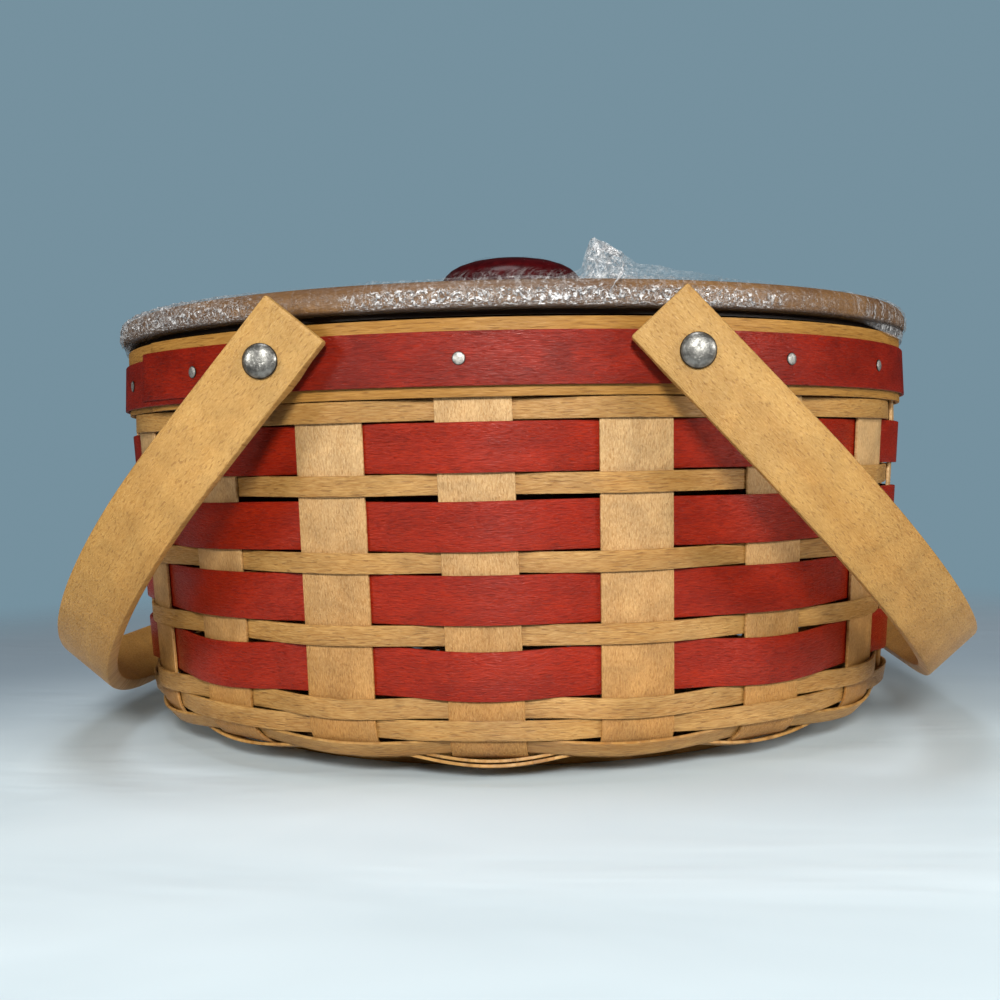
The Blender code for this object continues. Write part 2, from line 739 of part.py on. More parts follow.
# Lid panel with its eased edge and screw hole, the locating ring under it, and the knob
lid = empty("lid", (0, 0, lid_bottom))
screw_hole = SCREW_RADIUS + HOLE_EASE
lid_profile = [
    (screw_hole, LID_THICKNESS),
    (screw_hole, 0),
    (lid_radius - LID_EASE / 2, 0),
    (lid_radius, LID_EASE / 2),
    (lid_radius, LID_THICKNESS - LID_EASE),
    (lid_radius - LID_EASE * LID_EASE_SHARE, LID_THICKNESS - LID_EASE * LID_EASE_SHARE),
    (lid_radius - LID_EASE, LID_THICKNESS),
]
mesh = turned("lid_panel", lid_profile, LID_SIDES, closed=True)
finished(mesh.name, mesh, lid_wood, lid, smooth=True)
ring_outer = inner_band_inner - LID_RING_CLEARANCE
ring_inner = ring_outer - LID_RING_WIDTH
ring_profile = [
    (ring_outer, -SEAT),
    (ring_outer, -LID_RING_DEPTH),
    (ring_inner, -LID_RING_DEPTH),
    (ring_inner, -SEAT),
]
mesh = turned("lid_locating_ring", ring_profile, LID_SIDES, closed=True)
finished(mesh.name, mesh, lid_wood, lid, smooth=True)

knob_base = LID_THICKNESS + SEAT
knob_profile = [(KNOB_RADIUS * wide, knob_base + KNOB_HEIGHT * tall) for wide, tall in KNOB_CAP_SHARES]
knob_profile += [
    (KNOB_NECK_RADIUS, knob_base + KNOB_HEIGHT * KNOB_NECK_SHARE),
    (KNOB_FOOT_RADIUS, knob_base + KNOB_HEIGHT * KNOB_FOOT_SHARE),
    (KNOB_FOOT_RADIUS, knob_base),
    (screw_hole, knob_base),
    (screw_hole, knob_base + SCREW_REACH + SEAT),
    (0, knob_base + SCREW_REACH + SEAT),
]
mesh = turned("lid_knob", knob_profile, KNOB_SIDES)
finished(mesh.name, mesh, knob_paint, lid, smooth=True)
screw_profile = [
    (0, knob_base + SCREW_REACH),
    (SCREW_RADIUS, knob_base + SCREW_REACH),
    (SCREW_RADIUS, -SEAT),
    (SCREW_HEAD_RADIUS, -SEAT),
    (SCREW_HEAD_RADIUS * SCREW_HEAD_SHARE, -SEAT - SCREW_HEAD_HEIGHT),
    (0, -SEAT - SCREW_HEAD_HEIGHT),
]
mesh = turned("knob_screw", screw_profile, SCREW_SIDES)
finished(mesh.name, mesh, steel, lid, smooth=True)


# Clear film shrunk round the lid, drawn up over the knob and gathered in a tuft near the front edge
film_cap_shares = KNOB_CAP_SHARES[1:-1]
tuft_radius = lid_radius - TUFT_INSET


def film_line(gap):
    """The film's outline at this gap from the lid and the knob, from under the rim to the top of the knob."""
    edge = lid_radius + gap
    top = LID_THICKNESS + gap
    flat_part = [
        (lid_radius - FILM_LIP, -gap),
        (edge, -gap),
        (edge, LID_THICKNESS - LID_EASE),
        (edge - LID_EASE * LID_EASE_SHARE, top - LID_EASE * LID_EASE_SHARE),
        (lid_radius - LID_EASE, top),
        (tuft_radius, top),
        (FILM_TENT_RADIUS, top),
    ]
    cap = [(KNOB_RADIUS * wide + gap, knob_base + KNOB_HEIGHT * tall + gap) for wide, tall in film_cap_shares]
    return flat_part + cap[::-1] + [(0, knob_base + KNOB_HEIGHT + gap)]


film_profile = film_line(SEAT + FILM_THICKNESS)[::-1] + film_line(SEAT)
mesh = turned("shrink_film", film_profile, LID_SIDES)
tuft = outward(TUFT_ANGLE) * tuft_radius
for vertex in mesh.vertices:
    away = math.hypot(vertex.co.x - tuft.x, vertex.co.y - tuft.y) / TUFT_WIDTH
    if vertex.co.z > LID_THICKNESS and away < 1:
        vertex.co.z += TUFT_HEIGHT * (1 - away) ** 2
finished(mesh.name, mesh, film_clear, lid, smooth=True)
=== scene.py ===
"""A round splint pie basket with two swing handles and a knobbed lid in clear film.

Metres, +Z up. The front of the basket faces -Y, and the middle of its foot hoop stands on the origin.
"""

import math
import random

import bpy
from mathutils import Matrix, Vector, noise


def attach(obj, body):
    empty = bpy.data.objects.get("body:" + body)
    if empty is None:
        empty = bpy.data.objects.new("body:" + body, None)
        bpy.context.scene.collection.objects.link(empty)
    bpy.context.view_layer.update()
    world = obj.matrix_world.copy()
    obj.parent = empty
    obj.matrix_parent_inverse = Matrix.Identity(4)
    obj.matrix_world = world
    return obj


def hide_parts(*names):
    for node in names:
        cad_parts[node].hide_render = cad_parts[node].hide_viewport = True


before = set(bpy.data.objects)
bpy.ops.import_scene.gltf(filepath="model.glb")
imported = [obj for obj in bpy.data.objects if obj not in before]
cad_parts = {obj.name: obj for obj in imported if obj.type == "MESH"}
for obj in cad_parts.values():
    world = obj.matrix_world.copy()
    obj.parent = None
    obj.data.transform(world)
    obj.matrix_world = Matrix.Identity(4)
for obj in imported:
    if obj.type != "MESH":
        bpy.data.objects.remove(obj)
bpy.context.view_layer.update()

# Camera
# It stands low in front of the basket, a little to the right and just under the rim, and tilts a
# degree to the left.
bpy.ops.object.camera_add(location=(0.0410, -0.5865, 0.1081))
camera = bpy.context.object
aim = Matrix.Rotation(math.radians(4.66), 4, "Z") @ Matrix.Rotation(math.radians(88.24), 4, "X")
camera.rotation_euler = (aim @ Matrix.Rotation(math.radians(-1.06), 4, "Z")).to_euler()
camera.data.sensor_width = 36
camera.data.lens = 47.73
bpy.context.scene.camera = camera

# Table and lights
# A pale cloth-covered table that fades into a plain blue-grey backdrop. A soft light from just above the
# camera throws the handles' shadows on the wall; weaker ones fill in from right, left, above and behind.
CLOTH, CLOTH_SHADE, CLOTH_FAR_SHADE = (0.66, 0.78, 0.85, 1), (0.60, 0.72, 0.79, 1), (0.27, 0.35, 0.42, 1)
CLOTH_BOUNCE = (0.55, 0.59, 0.61, 1)
BACKDROP, AMBIENT = (0.180, 0.282, 0.345, 1), (0.02, 0.024, 0.028, 1)
TABLE_REACH, TABLE_FADE, TABLE_FRONT, SHADE_REACH = 0.34, 0.62, (0, -0.30, 0), (0.20, 0.50)
FOLD_SCALE, FOLD_TWIST = (5, 11, 1), 0.25
WARM, PLAIN, COOL = (1.0, 0.97, 0.92), (1.0, 0.98, 0.95), (0.95, 0.97, 1.0)
bpy.context.scene.view_settings.view_transform = "Standard"


def named(name):
    """Names the primitive that was just added."""
    made = bpy.context.object
    made.name = made.data.name = name
    return made


def wire(tree, kind, inputs=(), **settings):
    """Adds a node, sets what is fixed about it, and sets or links its inputs."""
    node = tree.nodes.new(kind)
    for key, value in settings.items():
        setattr(node, key, value)
    for key, value in dict(inputs).items():
        if isinstance(value, bpy.types.NodeSocket):
            tree.links.new(value, node.inputs[key])
        else:
            node.inputs[key].default_value = value
    return node


def ranged(tree, value, low, high, bottom=0.0, top=1.0, kind="LINEAR"):
    """Carries the run of a value from low to high over to a run from bottom to top, and stops there."""
    given = {0: value, 1: low, 2: high, 3: bottom, 4: top}
    return wire(tree, "ShaderNodeMapRange", given, interpolation_type=kind).outputs[0]


def mixed(tree, factor, first, second, kind="MIX"):
    """Mixes two colours by the factor."""
    given = {0: factor, 6: first, 7: second}
    return wire(tree, "ShaderNodeMix", given, data_type="RGBA", blend_type=kind).outputs[2]


def worked(tree, first, second, operation="MULTIPLY", clamp=False):
    """One sum of two values."""
    return wire(tree, "ShaderNodeMath", {0: first, 1: second}, operation=operation, use_clamp=clamp).outputs[0]


def drawn_noise(tree, place, scale, detail, waviness=0.0, twist=0.0):
    """Noise with its own scale along each axis of a place, turned by the twist."""
    drawn = wire(tree, "ShaderNodeMapping", {"Vector": place, "Scale": scale, "Rotation": (0, 0, twist)})
    given = {"Vector": drawn.outputs[0], "Scale": 1, "Detail": detail, "Distortion": waviness}
    return wire(tree, "ShaderNodeTexNoise", given).outputs["Fac"]


def embossed(tree, shader, height, strength, distance):
    """Gives the surface a relief from the height."""
    bump = wire(tree, "ShaderNodeBump", {"Height": height, "Strength": strength, "Distance": distance})
    tree.links.new(bump.outputs["Normal"], shader.inputs["Normal"])


def graded(tree, factor, stops):
    """A smooth run of colours, given as (place, colour), that the factor picks from."""
    node = wire(tree, "ShaderNodeValToRGB", {"Fac": factor})
    ramp = node.color_ramp
    while len(ramp.elements) < len(stops):
        ramp.elements.new(0.5)
    for element, (place, colour) in zip(ramp.elements, stops):
        element.position = place
        element.color = colour
    return node.outputs["Color"]


def finish_named(name):
    """A new material with its tree and its main shader."""
    made = bpy.data.materials.new(name)
    made.use_nodes = True
    return made, made.node_tree, made.node_tree.nodes["Principled BSDF"]


bpy.ops.object.select_all(action="DESELECT")
bpy.ops.mesh.primitive_circle_add(vertices=96, radius=1.0, fill_type="NGON")
table = named("studio_table")
table_cloth, tree, shader = finish_named("table_cloth")
place = wire(tree, "ShaderNodeTexCoord").outputs["Object"]
away = wire(tree, "ShaderNodeVectorMath", {0: place}, operation="LENGTH").outputs["Value"]
shown = ranged(tree, away, TABLE_REACH, TABLE_FADE, 1, 0, "SMOOTHSTEP")
tree.links.new(shown, shader.inputs["Alpha"])
# Painted shade on the cloth: its colour is darker in the hollows of the folds, and grows darker further from a
# point in front of the basket.
folds = drawn_noise(tree, place, FOLD_SCALE, 3, 0.6, FOLD_TWIST)
behind = wire(tree, "ShaderNodeVectorMath", {0: place, 1: TABLE_FRONT}, operation="DISTANCE").outputs["Value"]
behind = ranged(tree, behind, *SHADE_REACH, kind="SMOOTHSTEP")
toned = mixed(tree, behind, graded(tree, folds, [(0.38, CLOTH_SHADE), (0.62, CLOTH)]), CLOTH_FAR_SHADE)
# Rays other than the camera's see a darker copy of the cloth, so it throws less light back up onto the basket.
seen = wire(tree, "ShaderNodeLightPath").outputs["Is Camera Ray"]
tree.links.new(mixed(tree, seen, CLOTH_BOUNCE, toned), shader.inputs["Base Color"])
embossed(tree, shader, folds, 0.12, 0.02)
shader.inputs["Roughness"].default_value = 0.9
table.data.materials.append(table_cloth)


def soft_light(name, place, target, size, power, colour):
    """A round soft lamp at a place, aimed at the target."""
    lamp = bpy.data.objects.new(name, bpy.data.lights.new(name, "AREA"))
    bpy.context.scene.collection.objects.link(lamp)
    lamp.data.shape = "DISK"
    lamp.data.size, lamp.data.energy, lamp.data.color = size, power, colour
    lamp.location = place
    lamp.rotation_euler = (Vector(target) - Vector(place)).to_track_quat("-Z", "Y").to_euler()
    return lamp


soft_light("key_light", (0.10, -1.30, 0.58), (0, 0, 0.08), 0.26, 16.5, WARM)
soft_light("right_light", (1.12, -0.62, 0.46), (0, 0, 0.08), 0.40, 8, WARM)
soft_light("left_light", (-0.86, -0.92, 0.46), (0, 0, 0.08), 0.36, 5, WARM)
soft_light("top_light", (-0.10, -0.15, 1.20), (0, 0, 0.0), 0.50, 4, COOL)
back_light = soft_light("back_light", (0.25, 1.30, 0.80), (0, 0, 0.05), 0.60, 6, PLAIN)
back_light.visible_glossy = False
sky = bpy.data.worlds.new("even_sky")
sky.use_nodes = True
tree = sky.node_tree
seen = wire(tree, "ShaderNodeLightPath").outputs["Is Camera Ray"]
tree.links.new(mixed(tree, seen, AMBIENT, BACKDROP), tree.nodes["Background"].inputs["Color"])
bpy.context.scene.world = sky

# Long splints
# Ten strips of sliced maple cross under the middle of the floor, turn up through a small round corner
# and stand as twenty stakes, one inch wide, up to the rim. They are narrowed where they cross.
STAKES = 20
STAKE_SHIFTS = [(-0.9, 0.2), (0.3, 1.0), (1.6, 3.0), (5.9, 6.9)]
LEFT_SHIFTS = [(-4.6, -4.6), (-2.0, -2.4), (-0.6, -0.9)]
BACK_STAKES = STAKES - len(STAKE_SHIFTS) - len(LEFT_SHIFTS)
PITCH = math.tau / STAKES
STAKE_WIDTH, STAKE_THICKNESS = 0.0254, 0.0012
WAIST_WIDTH, WAIST_SHARE, WAIST_REACH, WAIST_EASE = 0.008, 0.583, 0.027, 0.018
FLOOR_LEVEL, CORNER_RADIUS, CORNER_CENTRE = 0.0079, 0.013, 0.141298
WALL_LEAN = math.radians(3.6)
STAKE_RADIUS, KINK_LEVEL, STAKE_TOP = 0.1606, 0.120671, 0.153021
CORNER_LENGTH = CORNER_RADIUS * (math.pi / 2 - WALL_LEAN)
CORNER_END = CORNER_CENTRE + CORNER_RADIUS * math.cos(WALL_LEAN)
CORNER_TOP = FLOOR_LEVEL + CORNER_RADIUS * (1 - math.sin(WALL_LEAN))
KINK_LENGTH = CORNER_LENGTH + (KINK_LEVEL - CORNER_TOP) / math.cos(WALL_LEAN)

CROSSING_LEVEL, CROSSING_STEP = 0.0012, 0.001
TAPER_REACH = CORNER_CENTRE - 0.0313
for step in range(1, BACK_STAKES + 1):
    share, ends = step / (BACK_STAKES + 1), zip(STAKE_SHIFTS[3], LEFT_SHIFTS[0])
    STAKE_SHIFTS.append(tuple(near + (far - near) * share for near, far in ends))
STAKE_SHIFTS += LEFT_SHIFTS


def share_of(value, low, high):
    """How far a value has come from low to high, within 0 and 1."""
    return min(max((value - low) / (high - low), 0), 1)


def eased(value, low, high):
    """The same, with a soft start and a soft end."""
    share = share_of(value, low, high)
    return share * share * (3 - 2 * share)


def outward(turn):
    """The level direction at this turn from the front, positive towards +X."""
    return Vector((math.sin(turn), -math.cos(turn), 0))


def stake_turn(number, level):
    """Where a stake stands, from its even place and its own shift at the rim and at the floor, in degrees."""
    at_rim, at_floor = STAKE_SHIFTS[number % STAKES]
    share = share_of(level, 0, STAKE_TOP)
    return number * PITCH + math.radians(at_floor + (at_rim - at_floor) * share)


def course_turn(course, level):
    """The turn at this many stakes along a row."""
    before = math.floor(course)
    here, there = stake_turn(before, level), stake_turn(before + 1, level)
    return here + (there - here) * (course - before)


def wall_place(length):
    """Radius, height and slope of the stakes at this length up the wall from the edge of the floor."""
    if length < 0:
        return CORNER_CENTRE + length, FLOOR_LEVEL, 0.0
    if length < CORNER_LENGTH:
        slope = length / CORNER_RADIUS
        radius = CORNER_CENTRE + CORNER_RADIUS * math.sin(slope)
        return radius, FLOOR_LEVEL + CORNER_RADIUS * (1 - math.cos(slope)), slope
    if length < KINK_LENGTH:
        run = length - CORNER_LENGTH
        level = CORNER_TOP + run * math.cos(WALL_LEAN)
        return CORNER_END + run * math.sin(WALL_LEAN), level, math.pi / 2 - WALL_LEAN
    return STAKE_RADIUS, KINK_LEVEL + length - KINK_LENGTH, math.pi / 2


def grain_group():
    """Sliced wood along a strip, from a map in metres: broad streaks, wavy fibres and short dark flecks."""
    tree = bpy.data.node_groups.new("splint_grain", "ShaderNodeTree")
    for name, kind in (("Map", "Vector"), ("Pale", "Color"), ("Deep", "Color"), ("Fleck", "Color")):
        tree.interface.new_socket(name, in_out="INPUT", socket_type="NodeSocket" + kind)
    for name in ("Length", "Streaks", "Fibres", "Flecks", "Mottle", "Gloss"):
        tree.interface.new_socket(name, in_out="INPUT", socket_type="NodeSocketFloat")
    for name, kind in (("Color", "Color"), ("Roughness", "Float"), ("Height", "Float")):
        tree.interface.new_socket(name, in_out="OUTPUT", socket_type="NodeSocket" + kind)
    given = tree.nodes.new("NodeGroupInput").outputs
    cut = wire(tree, "ShaderNodeSeparateXYZ", {0: given["Map"]}).outputs
    along = worked(tree, cut["X"], given["Length"], "DIVIDE")
    course = wire(tree, "ShaderNodeCombineXYZ", {"X": along, "Y": cut["Y"]}).outputs[0]
    broad = ranged(tree, drawn_noise(tree, course, (9, 130, 1), 3), 0.34, 0.68)
    fibres = ranged(tree, drawn_noise(tree, course, (290, 2300, 1), 3, 0.8), 0.33, 0.67)
    flecks = ranged(tree, drawn_noise(tree, course, (210, 1500, 1), 2, 0.5), 0.585, 0.665)
    patches = ranged(tree, drawn_noise(tree, course, (45, 80, 1), 3, 0.6), 0.32, 0.68)
    toned = worked(tree, worked(tree, broad, given["Streaks"]), worked(tree, fibres, given["Fibres"]), "ADD")
    colour = mixed(tree, toned, given["Pale"], given["Deep"])
    colour = mixed(tree, worked(tree, flecks, given["Flecks"]), colour, given["Fleck"])
    stained = worked(tree, 1.08, worked(tree, patches, given["Mottle"]), "SUBTRACT")
    shade = wire(tree, "ShaderNodeCombineColor", {"Red": stained, "Green": stained, "Blue": stained}).outputs[0]
    colour = mixed(tree, 1.0, colour, shade, "MULTIPLY")
    rough = worked(tree, given["Gloss"], worked(tree, fibres, 0.14), "ADD")
    height = worked(tree, worked(tree, fibres, -0.6), worked(tree, flecks, -0.7), "ADD")
    tree_out = tree.nodes.new("NodeGroupOutput")
    for name, value in (("Color", colour), ("Roughness", rough), ("Height", height)):
        tree.links.new(value, tree_out.inputs[name])
    return tree


splint_grain = grain_group()


def splint_finish(name, pale, deep, fleck, grain, gloss, relief, sheen=0.5):
    """Wood that follows a strip's own map; grain gives its length, streaks, fibres, flecks and mottle."""
    made, tree, shader = finish_named(name)
    strip_map = wire(tree, "ShaderNodeUVMap", uv_map="strip").outputs[0]
    wood = wire(tree, "ShaderNodeGroup", node_tree=splint_grain)
    tree.links.new(strip_map, wood.inputs["Map"])
    for socket, value in (("Pale", pale), ("Deep", deep), ("Fleck", fleck)):
        wood.inputs[socket].default_value = (*value, 1)
    for socket, value in zip(("Length", "Streaks", "Fibres", "Flecks", "Mottle"), grain):
        wood.inputs[socket].default_value = value
    wood.inputs["Gloss"].default_value = gloss
    shader.inputs["Specular IOR Level"].default_value = sheen
    shader.inputs["Anisotropic"].default_value = 0.85
    shader.inputs["Anisotropic Rotation"].default_value = 0.25
    tree.links.new(wood.outputs["Color"], shader.inputs["Base Color"])
    tree.links.new(wood.outputs["Roughness"], shader.inputs["Roughness"])
    embossed(tree, shader, wood.outputs["Height"], relief, 0.0003)
    return made


def deepened(material, low, high, tint):
    """Deepens the colour of the wood downwards, from the height given as high to full tint at low."""
    tree, shader = material.node_tree, material.node_tree.nodes["Principled BSDF"]
    place = wire(tree, "ShaderNodeTexCoord").outputs["Object"]
    height = wire(tree, "ShaderNodeSeparateXYZ", {0: place}).outputs["Z"]
    wood = shader.inputs["Base Color"].links[0].from_socket
    made = mixed(tree, ranged(tree, height, low, high, 1, 0), wood, (*tint, 1), "MULTIPLY")
    tree.links.new(made, shader.inputs["Base Color"])


def weld():
    bpy.ops.mesh.remove_doubles(threshold=0.00001)


def face_outwards():
    bpy.ops.mesh.normals_make_consistent(inside=False)


def over_whole_mesh(*steps):
    """Runs edit-mode steps on everything in the active mesh."""
    bpy.ops.object.mode_set(mode="EDIT")
    bpy.ops.mesh.select_all(action="SELECT")
    for step in steps:
        step()
    bpy.ops.object.mode_set(mode="OBJECT")


def strip_map(mesh, place):
    """Gives every corner of a grid its place on the strip map, from the grid point that it stands on."""
    mesh.uv_layers[0].name = "strip"
    for loop, corner in zip(mesh.loops, mesh.uv_layers[0].data):
        corner.uv = place(mesh.vertices[loop.vertex_index].co)


def splint(
    name, length, width, place, thickness, finish, share=None, ease=0.0003, step=0.003, lanes=4, hoop=False
):
    """A flat strip bent to its course: place(share along, distance across) gives each point of its middle."""
    bpy.ops.object.select_all(action="DESELECT")
    bpy.ops.mesh.primitive_grid_add(x_subdivisions=round(length / step), y_subdivisions=lanes, size=1)
    made = named(name)
    mesh = made.data
    shift = random.Random(name).random() * 3
    strip_map(mesh, lambda point: ((point.x + 0.5) * length + shift, point.y * width + shift / 3))
    thinned = made.vertex_groups.new(name="thickness")
    for vertex in mesh.vertices:
        run = vertex.co.x + 0.5
        thinned.add([vertex.index], share(run) if share else 1.0, "REPLACE")
        vertex.co = place(run, vertex.co.y * width)
    if hoop:
        over_whole_mesh(weld)
    thicken = made.modifiers.new("thickness", "SOLIDIFY")
    thicken.thickness, thicken.offset, thicken.use_even_offset = thickness, 0, True
    if share:
        thicken.vertex_group = "thickness"
    bpy.ops.object.modifier_apply(modifier=thicken.name)
    made.vertex_groups.clear()
    bevel = made.modifiers.new("eased edges", "BEVEL")
    bevel.width, bevel.segments, bevel.limit_method, bevel.angle_limit = ease, 2, "ANGLE", math.radians(50)
    bpy.ops.object.modifier_apply(modifier=bevel.name)
    over_whole_mesh(face_outwards)
    bpy.ops.object.shade_smooth_by_angle(angle=math.radians(40))
    mesh.materials.append(finish)
    return made


stake_maple = splint_finish(
    "stake_maple", (0.67, 0.455, 0.225), (0.41, 0.22, 0.072), (0.26, 0.12, 0.035),
    grain=(0.42, 0.25, 0.7, 0.3, 0.26), gloss=0.50, relief=0.6,
)
deepened(stake_maple, 0.025, 0.110, (0.76, 0.60, 0.36))
stake_half_length = CORNER_CENTRE + KINK_LENGTH + STAKE_TOP - KINK_LEVEL


def waist(radius):
    """Share of the full width that a splint has regained at this radius."""
    return share_of(radius, WAIST_REACH, TAPER_REACH)


def fanned(number, radius, level):
    """The turn of a stake, which strays from its even place only beyond the crossing."""
    even = number * PITCH
    return even + (course_turn(number, level) - even) * share_of(radius, WAIST_REACH + WAIST_EASE, TAPER_REACH)


for index in range(STAKES // 2):
    crossing = CROSSING_LEVEL + CROSSING_STEP * index

    def stake_place(run, across):
        reach = (2 * run - 1) * stake_half_length
        radius, level, slope = wall_place(abs(reach) - CORNER_CENTRE)
        number = index if reach > 0 else index + STAKES // 2
        turn = fanned(number, radius, level)
        if radius < WAIST_REACH + WAIST_EASE:
            climb = max((radius - WAIST_REACH) / WAIST_EASE, 0)
            level = crossing + (FLOOR_LEVEL - crossing) * climb
        aside = across * (WAIST_WIDTH + (STAKE_WIDTH - WAIST_WIDTH) * waist(radius)) / STAKE_WIDTH
        round_share = math.sin(slope) ** 2
        flat = radius - (radius - math.sqrt(max(radius**2 - aside**2, 0))) * round_share
        along = outward(turn + math.pi / 2) * (1 if reach > 0 else -1)
        return outward(turn) * flat + along * aside + Vector((0, 0, level))

    def stake_share(run):
        radius = wall_place(abs(2 * run - 1) * stake_half_length - CORNER_CENTRE)[0]
        return WAIST_SHARE + (1 - WAIST_SHARE) * waist(radius)

    stake = splint(
        f"stake_pair_{index + 1:02d}", 2 * stake_half_length, STAKE_WIDTH, stake_place, STAKE_THICKNESS,
        stake_maple, share=stake_share, lanes=6, step=0.002,
    )
    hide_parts(f"long_splint_{index + 1:02d}")
    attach(stake, "basket")

# Floor weaver
# One long strip of the same maple spirals in from the corner, over one stake and under the next, and
# steps over two once in each round.
FLOOR_WEAVER_WIDTH, FLOOR_WEAVER_PITCH, WEAVER_THICKNESS = 0.0096, 0.0104, 0.0011
FLOOR_ROUNDS, FLOOR_SWING = 6, 0.00145
FIRST_ROW, ROW_GAP = 0.00766, 0.0003
floor_start = CORNER_CENTRE - FIRST_ROW - ROW_GAP - FLOOR_WEAVER_WIDTH / 2
floor_steps = FLOOR_ROUNDS * STAKES
row_maple = splint_finish(
    "row_maple", (0.52, 0.305, 0.098), (0.33, 0.155, 0.035), (0.17, 0.07, 0.016),
    grain=(1.1, 0.4, 0.75, 0.5, 0.24), gloss=0.46, relief=0.6,
)


def floor_side(step):
    """Over (1) or under (-1) the stake at this step."""
    step = min(max(step, 0), floor_steps - 1)
    return 1 if (step + step // STAKES) % 2 else -1


def floor_place(run, across):
    step = run * (floor_steps - 1)
    before = math.floor(step)
    side, next_side = floor_side(before), floor_side(before + 1)
    rise = side + (next_side - side) * eased(step - before, 0.22, 0.78)
    radius = floor_start - FLOOR_WEAVER_PITCH * step / STAKES
    turn = fanned(step, radius, FLOOR_LEVEL)
    return outward(turn) * (radius + across) + Vector((0, 0, FLOOR_LEVEL + rise * FLOOR_SWING))


floor_length = math.tau * FLOOR_ROUNDS * (floor_start - FLOOR_WEAVER_PITCH * FLOOR_ROUNDS / 2)
floor_weaver = splint(
    "floor_spiral", floor_length, FLOOR_WEAVER_WIDTH, floor_place, WEAVER_THICKNESS, row_maple, lanes=2
)
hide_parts("floor_weaver")
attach(floor_weaver, "basket")

# Foot hoop
# A bent hoop of thick smooth maple under the floor, which the whole basket stands on.
FOOT_OUTER, FOOT_THICKNESS, FOOT_TOP = 0.123298, 0.0033, 0.0056


def foot_place(run, across):
    return outward(run * math.tau) * (FOOT_OUTER - FOOT_THICKNESS / 2) + Vector((0, 0, FOOT_TOP / 2 + across))


band_maple = splint_finish(
    "band_maple", (0.47, 0.25, 0.062), (0.32, 0.15, 0.03), (0.16, 0.065, 0.014),
    grain=(1.8, 0.4, 0.8, 0.55, 0.2), gloss=0.42, relief=0.5, sheen=0.3,
)
foot_hoop = splint(
    "standing_hoop", math.tau * FOOT_OUTER, FOOT_TOP, foot_place, FOOT_THICKNESS, band_maple,
    ease=0.0006, lanes=2, hoop=True,
)
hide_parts("foot_hoop")
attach(foot_hoop, "basket")

# Woven rows
# Thirteen closed hoops of thin maple, nine narrow ones left natural and four broad ones stained brick
# red, pass outside one stake and inside the next. Each laps over its own start for two stakes.
ROW_HEIGHTS = {"red": 0.0166, "narrow": 0.0071, "window": 0.0017 - ROW_GAP}
ROW_SWING, ROW_CLEAR, ROW_SWAY, ROW_SLACK = 0.00125, 0.00005, 0.0004, 0.0001
ROW_PLAN = ["narrow"] * 5 + ["red", "narrow", "red", "narrow", "red", "window", "narrow", "red", "narrow"]
ROW_BOWS = {("narrow", 4): 0.0008, ("narrow", 5): -0.0008, ("red", 1): -0.0010, ("narrow", 2): 0.0004}
LAP_STAKES, BACK_START, LAP_GAP = 2, 8, 0.0012
FRONT_LAP, FRONT_START, FRONT_GAP = 2, -1, 0.0016
red_stain = splint_finish(
    "red_stain", (0.345, 0.021, 0.004), (0.225, 0.009, 0.002), (0.13, 0.006, 0.002),
    grain=(0.7, 0.35, 0.9, 0.3, 0.28), gloss=0.32, relief=0.7, sheen=0.24,
)


def row_place_for(start, height, side, first_stake, layers_gap, bow, seed):
    """The course of one row that starts this far up the wall and passes its first stake on this side."""
    radius, level, slope = wall_place(start + height / 2)
    half_stake = math.asin(STAKE_WIDTH / 2 / radius)
    gaps = [stake_turn(number + 1, level) - stake_turn(number, level) for number in range(STAKES)]
    swings = []
    for number in range(STAKES):
        narrower = min(gaps[number - 1], gaps[number])
        swings.append(ROW_SWING / math.cos(math.pi * half_stake / narrower) + ROW_CLEAR)

    def row_place(run, across):
        passed = run * (STAKES + LAP_STAKES)
        course = first_stake + passed
        turn = course_turn(course, level)
        before = math.floor(course)
        here, there = swings[before % STAKES], swings[(before + 1) % STAKES]
        wave = side * math.cos(math.pi * course)
        offset = (here + (there - here) * (course - before)) * wave
        if passed < LAP_STAKES + 1:
            offset -= layers_gap * (1 - wave) / 2
        if passed > STAKES:
            offset += layers_gap * (1 + wave) / 2
        sway = noise.noise(Vector((turn * 3, seed, 0))) * ROW_SWAY
        climb = across + sway + bow * max(wave, 0)
        reach = radius + math.sin(slope) * offset + math.cos(slope) * climb
        rise = math.sin(slope) * climb - math.cos(slope) * offset
        return outward(turn) * reach + Vector((0, 0, level + rise))

    return row_place


start = -FIRST_ROW
side = -1
made_rows = {"red": 0, "narrow": 0}
for kind in ROW_PLAN:
    height = ROW_HEIGHTS[kind]
    if kind != "window":
        made_rows[kind] += 1
        number = made_rows[kind]
        first_stake, gap = BACK_START + (0 if side < 0 else 1), LAP_GAP
        if kind == "narrow" and number == FRONT_LAP:
            first_stake, gap = FRONT_START, FRONT_GAP
        bow = ROW_BOWS.get((kind, number), 0.0)
        row_place = row_place_for(start, height, side, first_stake, gap, bow, number + len(kind) * 7)
        row_length = (math.tau + LAP_STAKES * PITCH) * wall_place(start + height / 2)[0]
        row = splint(
            f"{kind}_row_{number}", row_length, height - ROW_SLACK, row_place, WEAVER_THICKNESS,
            red_stain if kind == "red" else row_maple,
        )
        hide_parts(f"{kind}_weaver_{number}")
        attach(row, "basket")
        side = -side
        start += ROW_GAP
    start += height

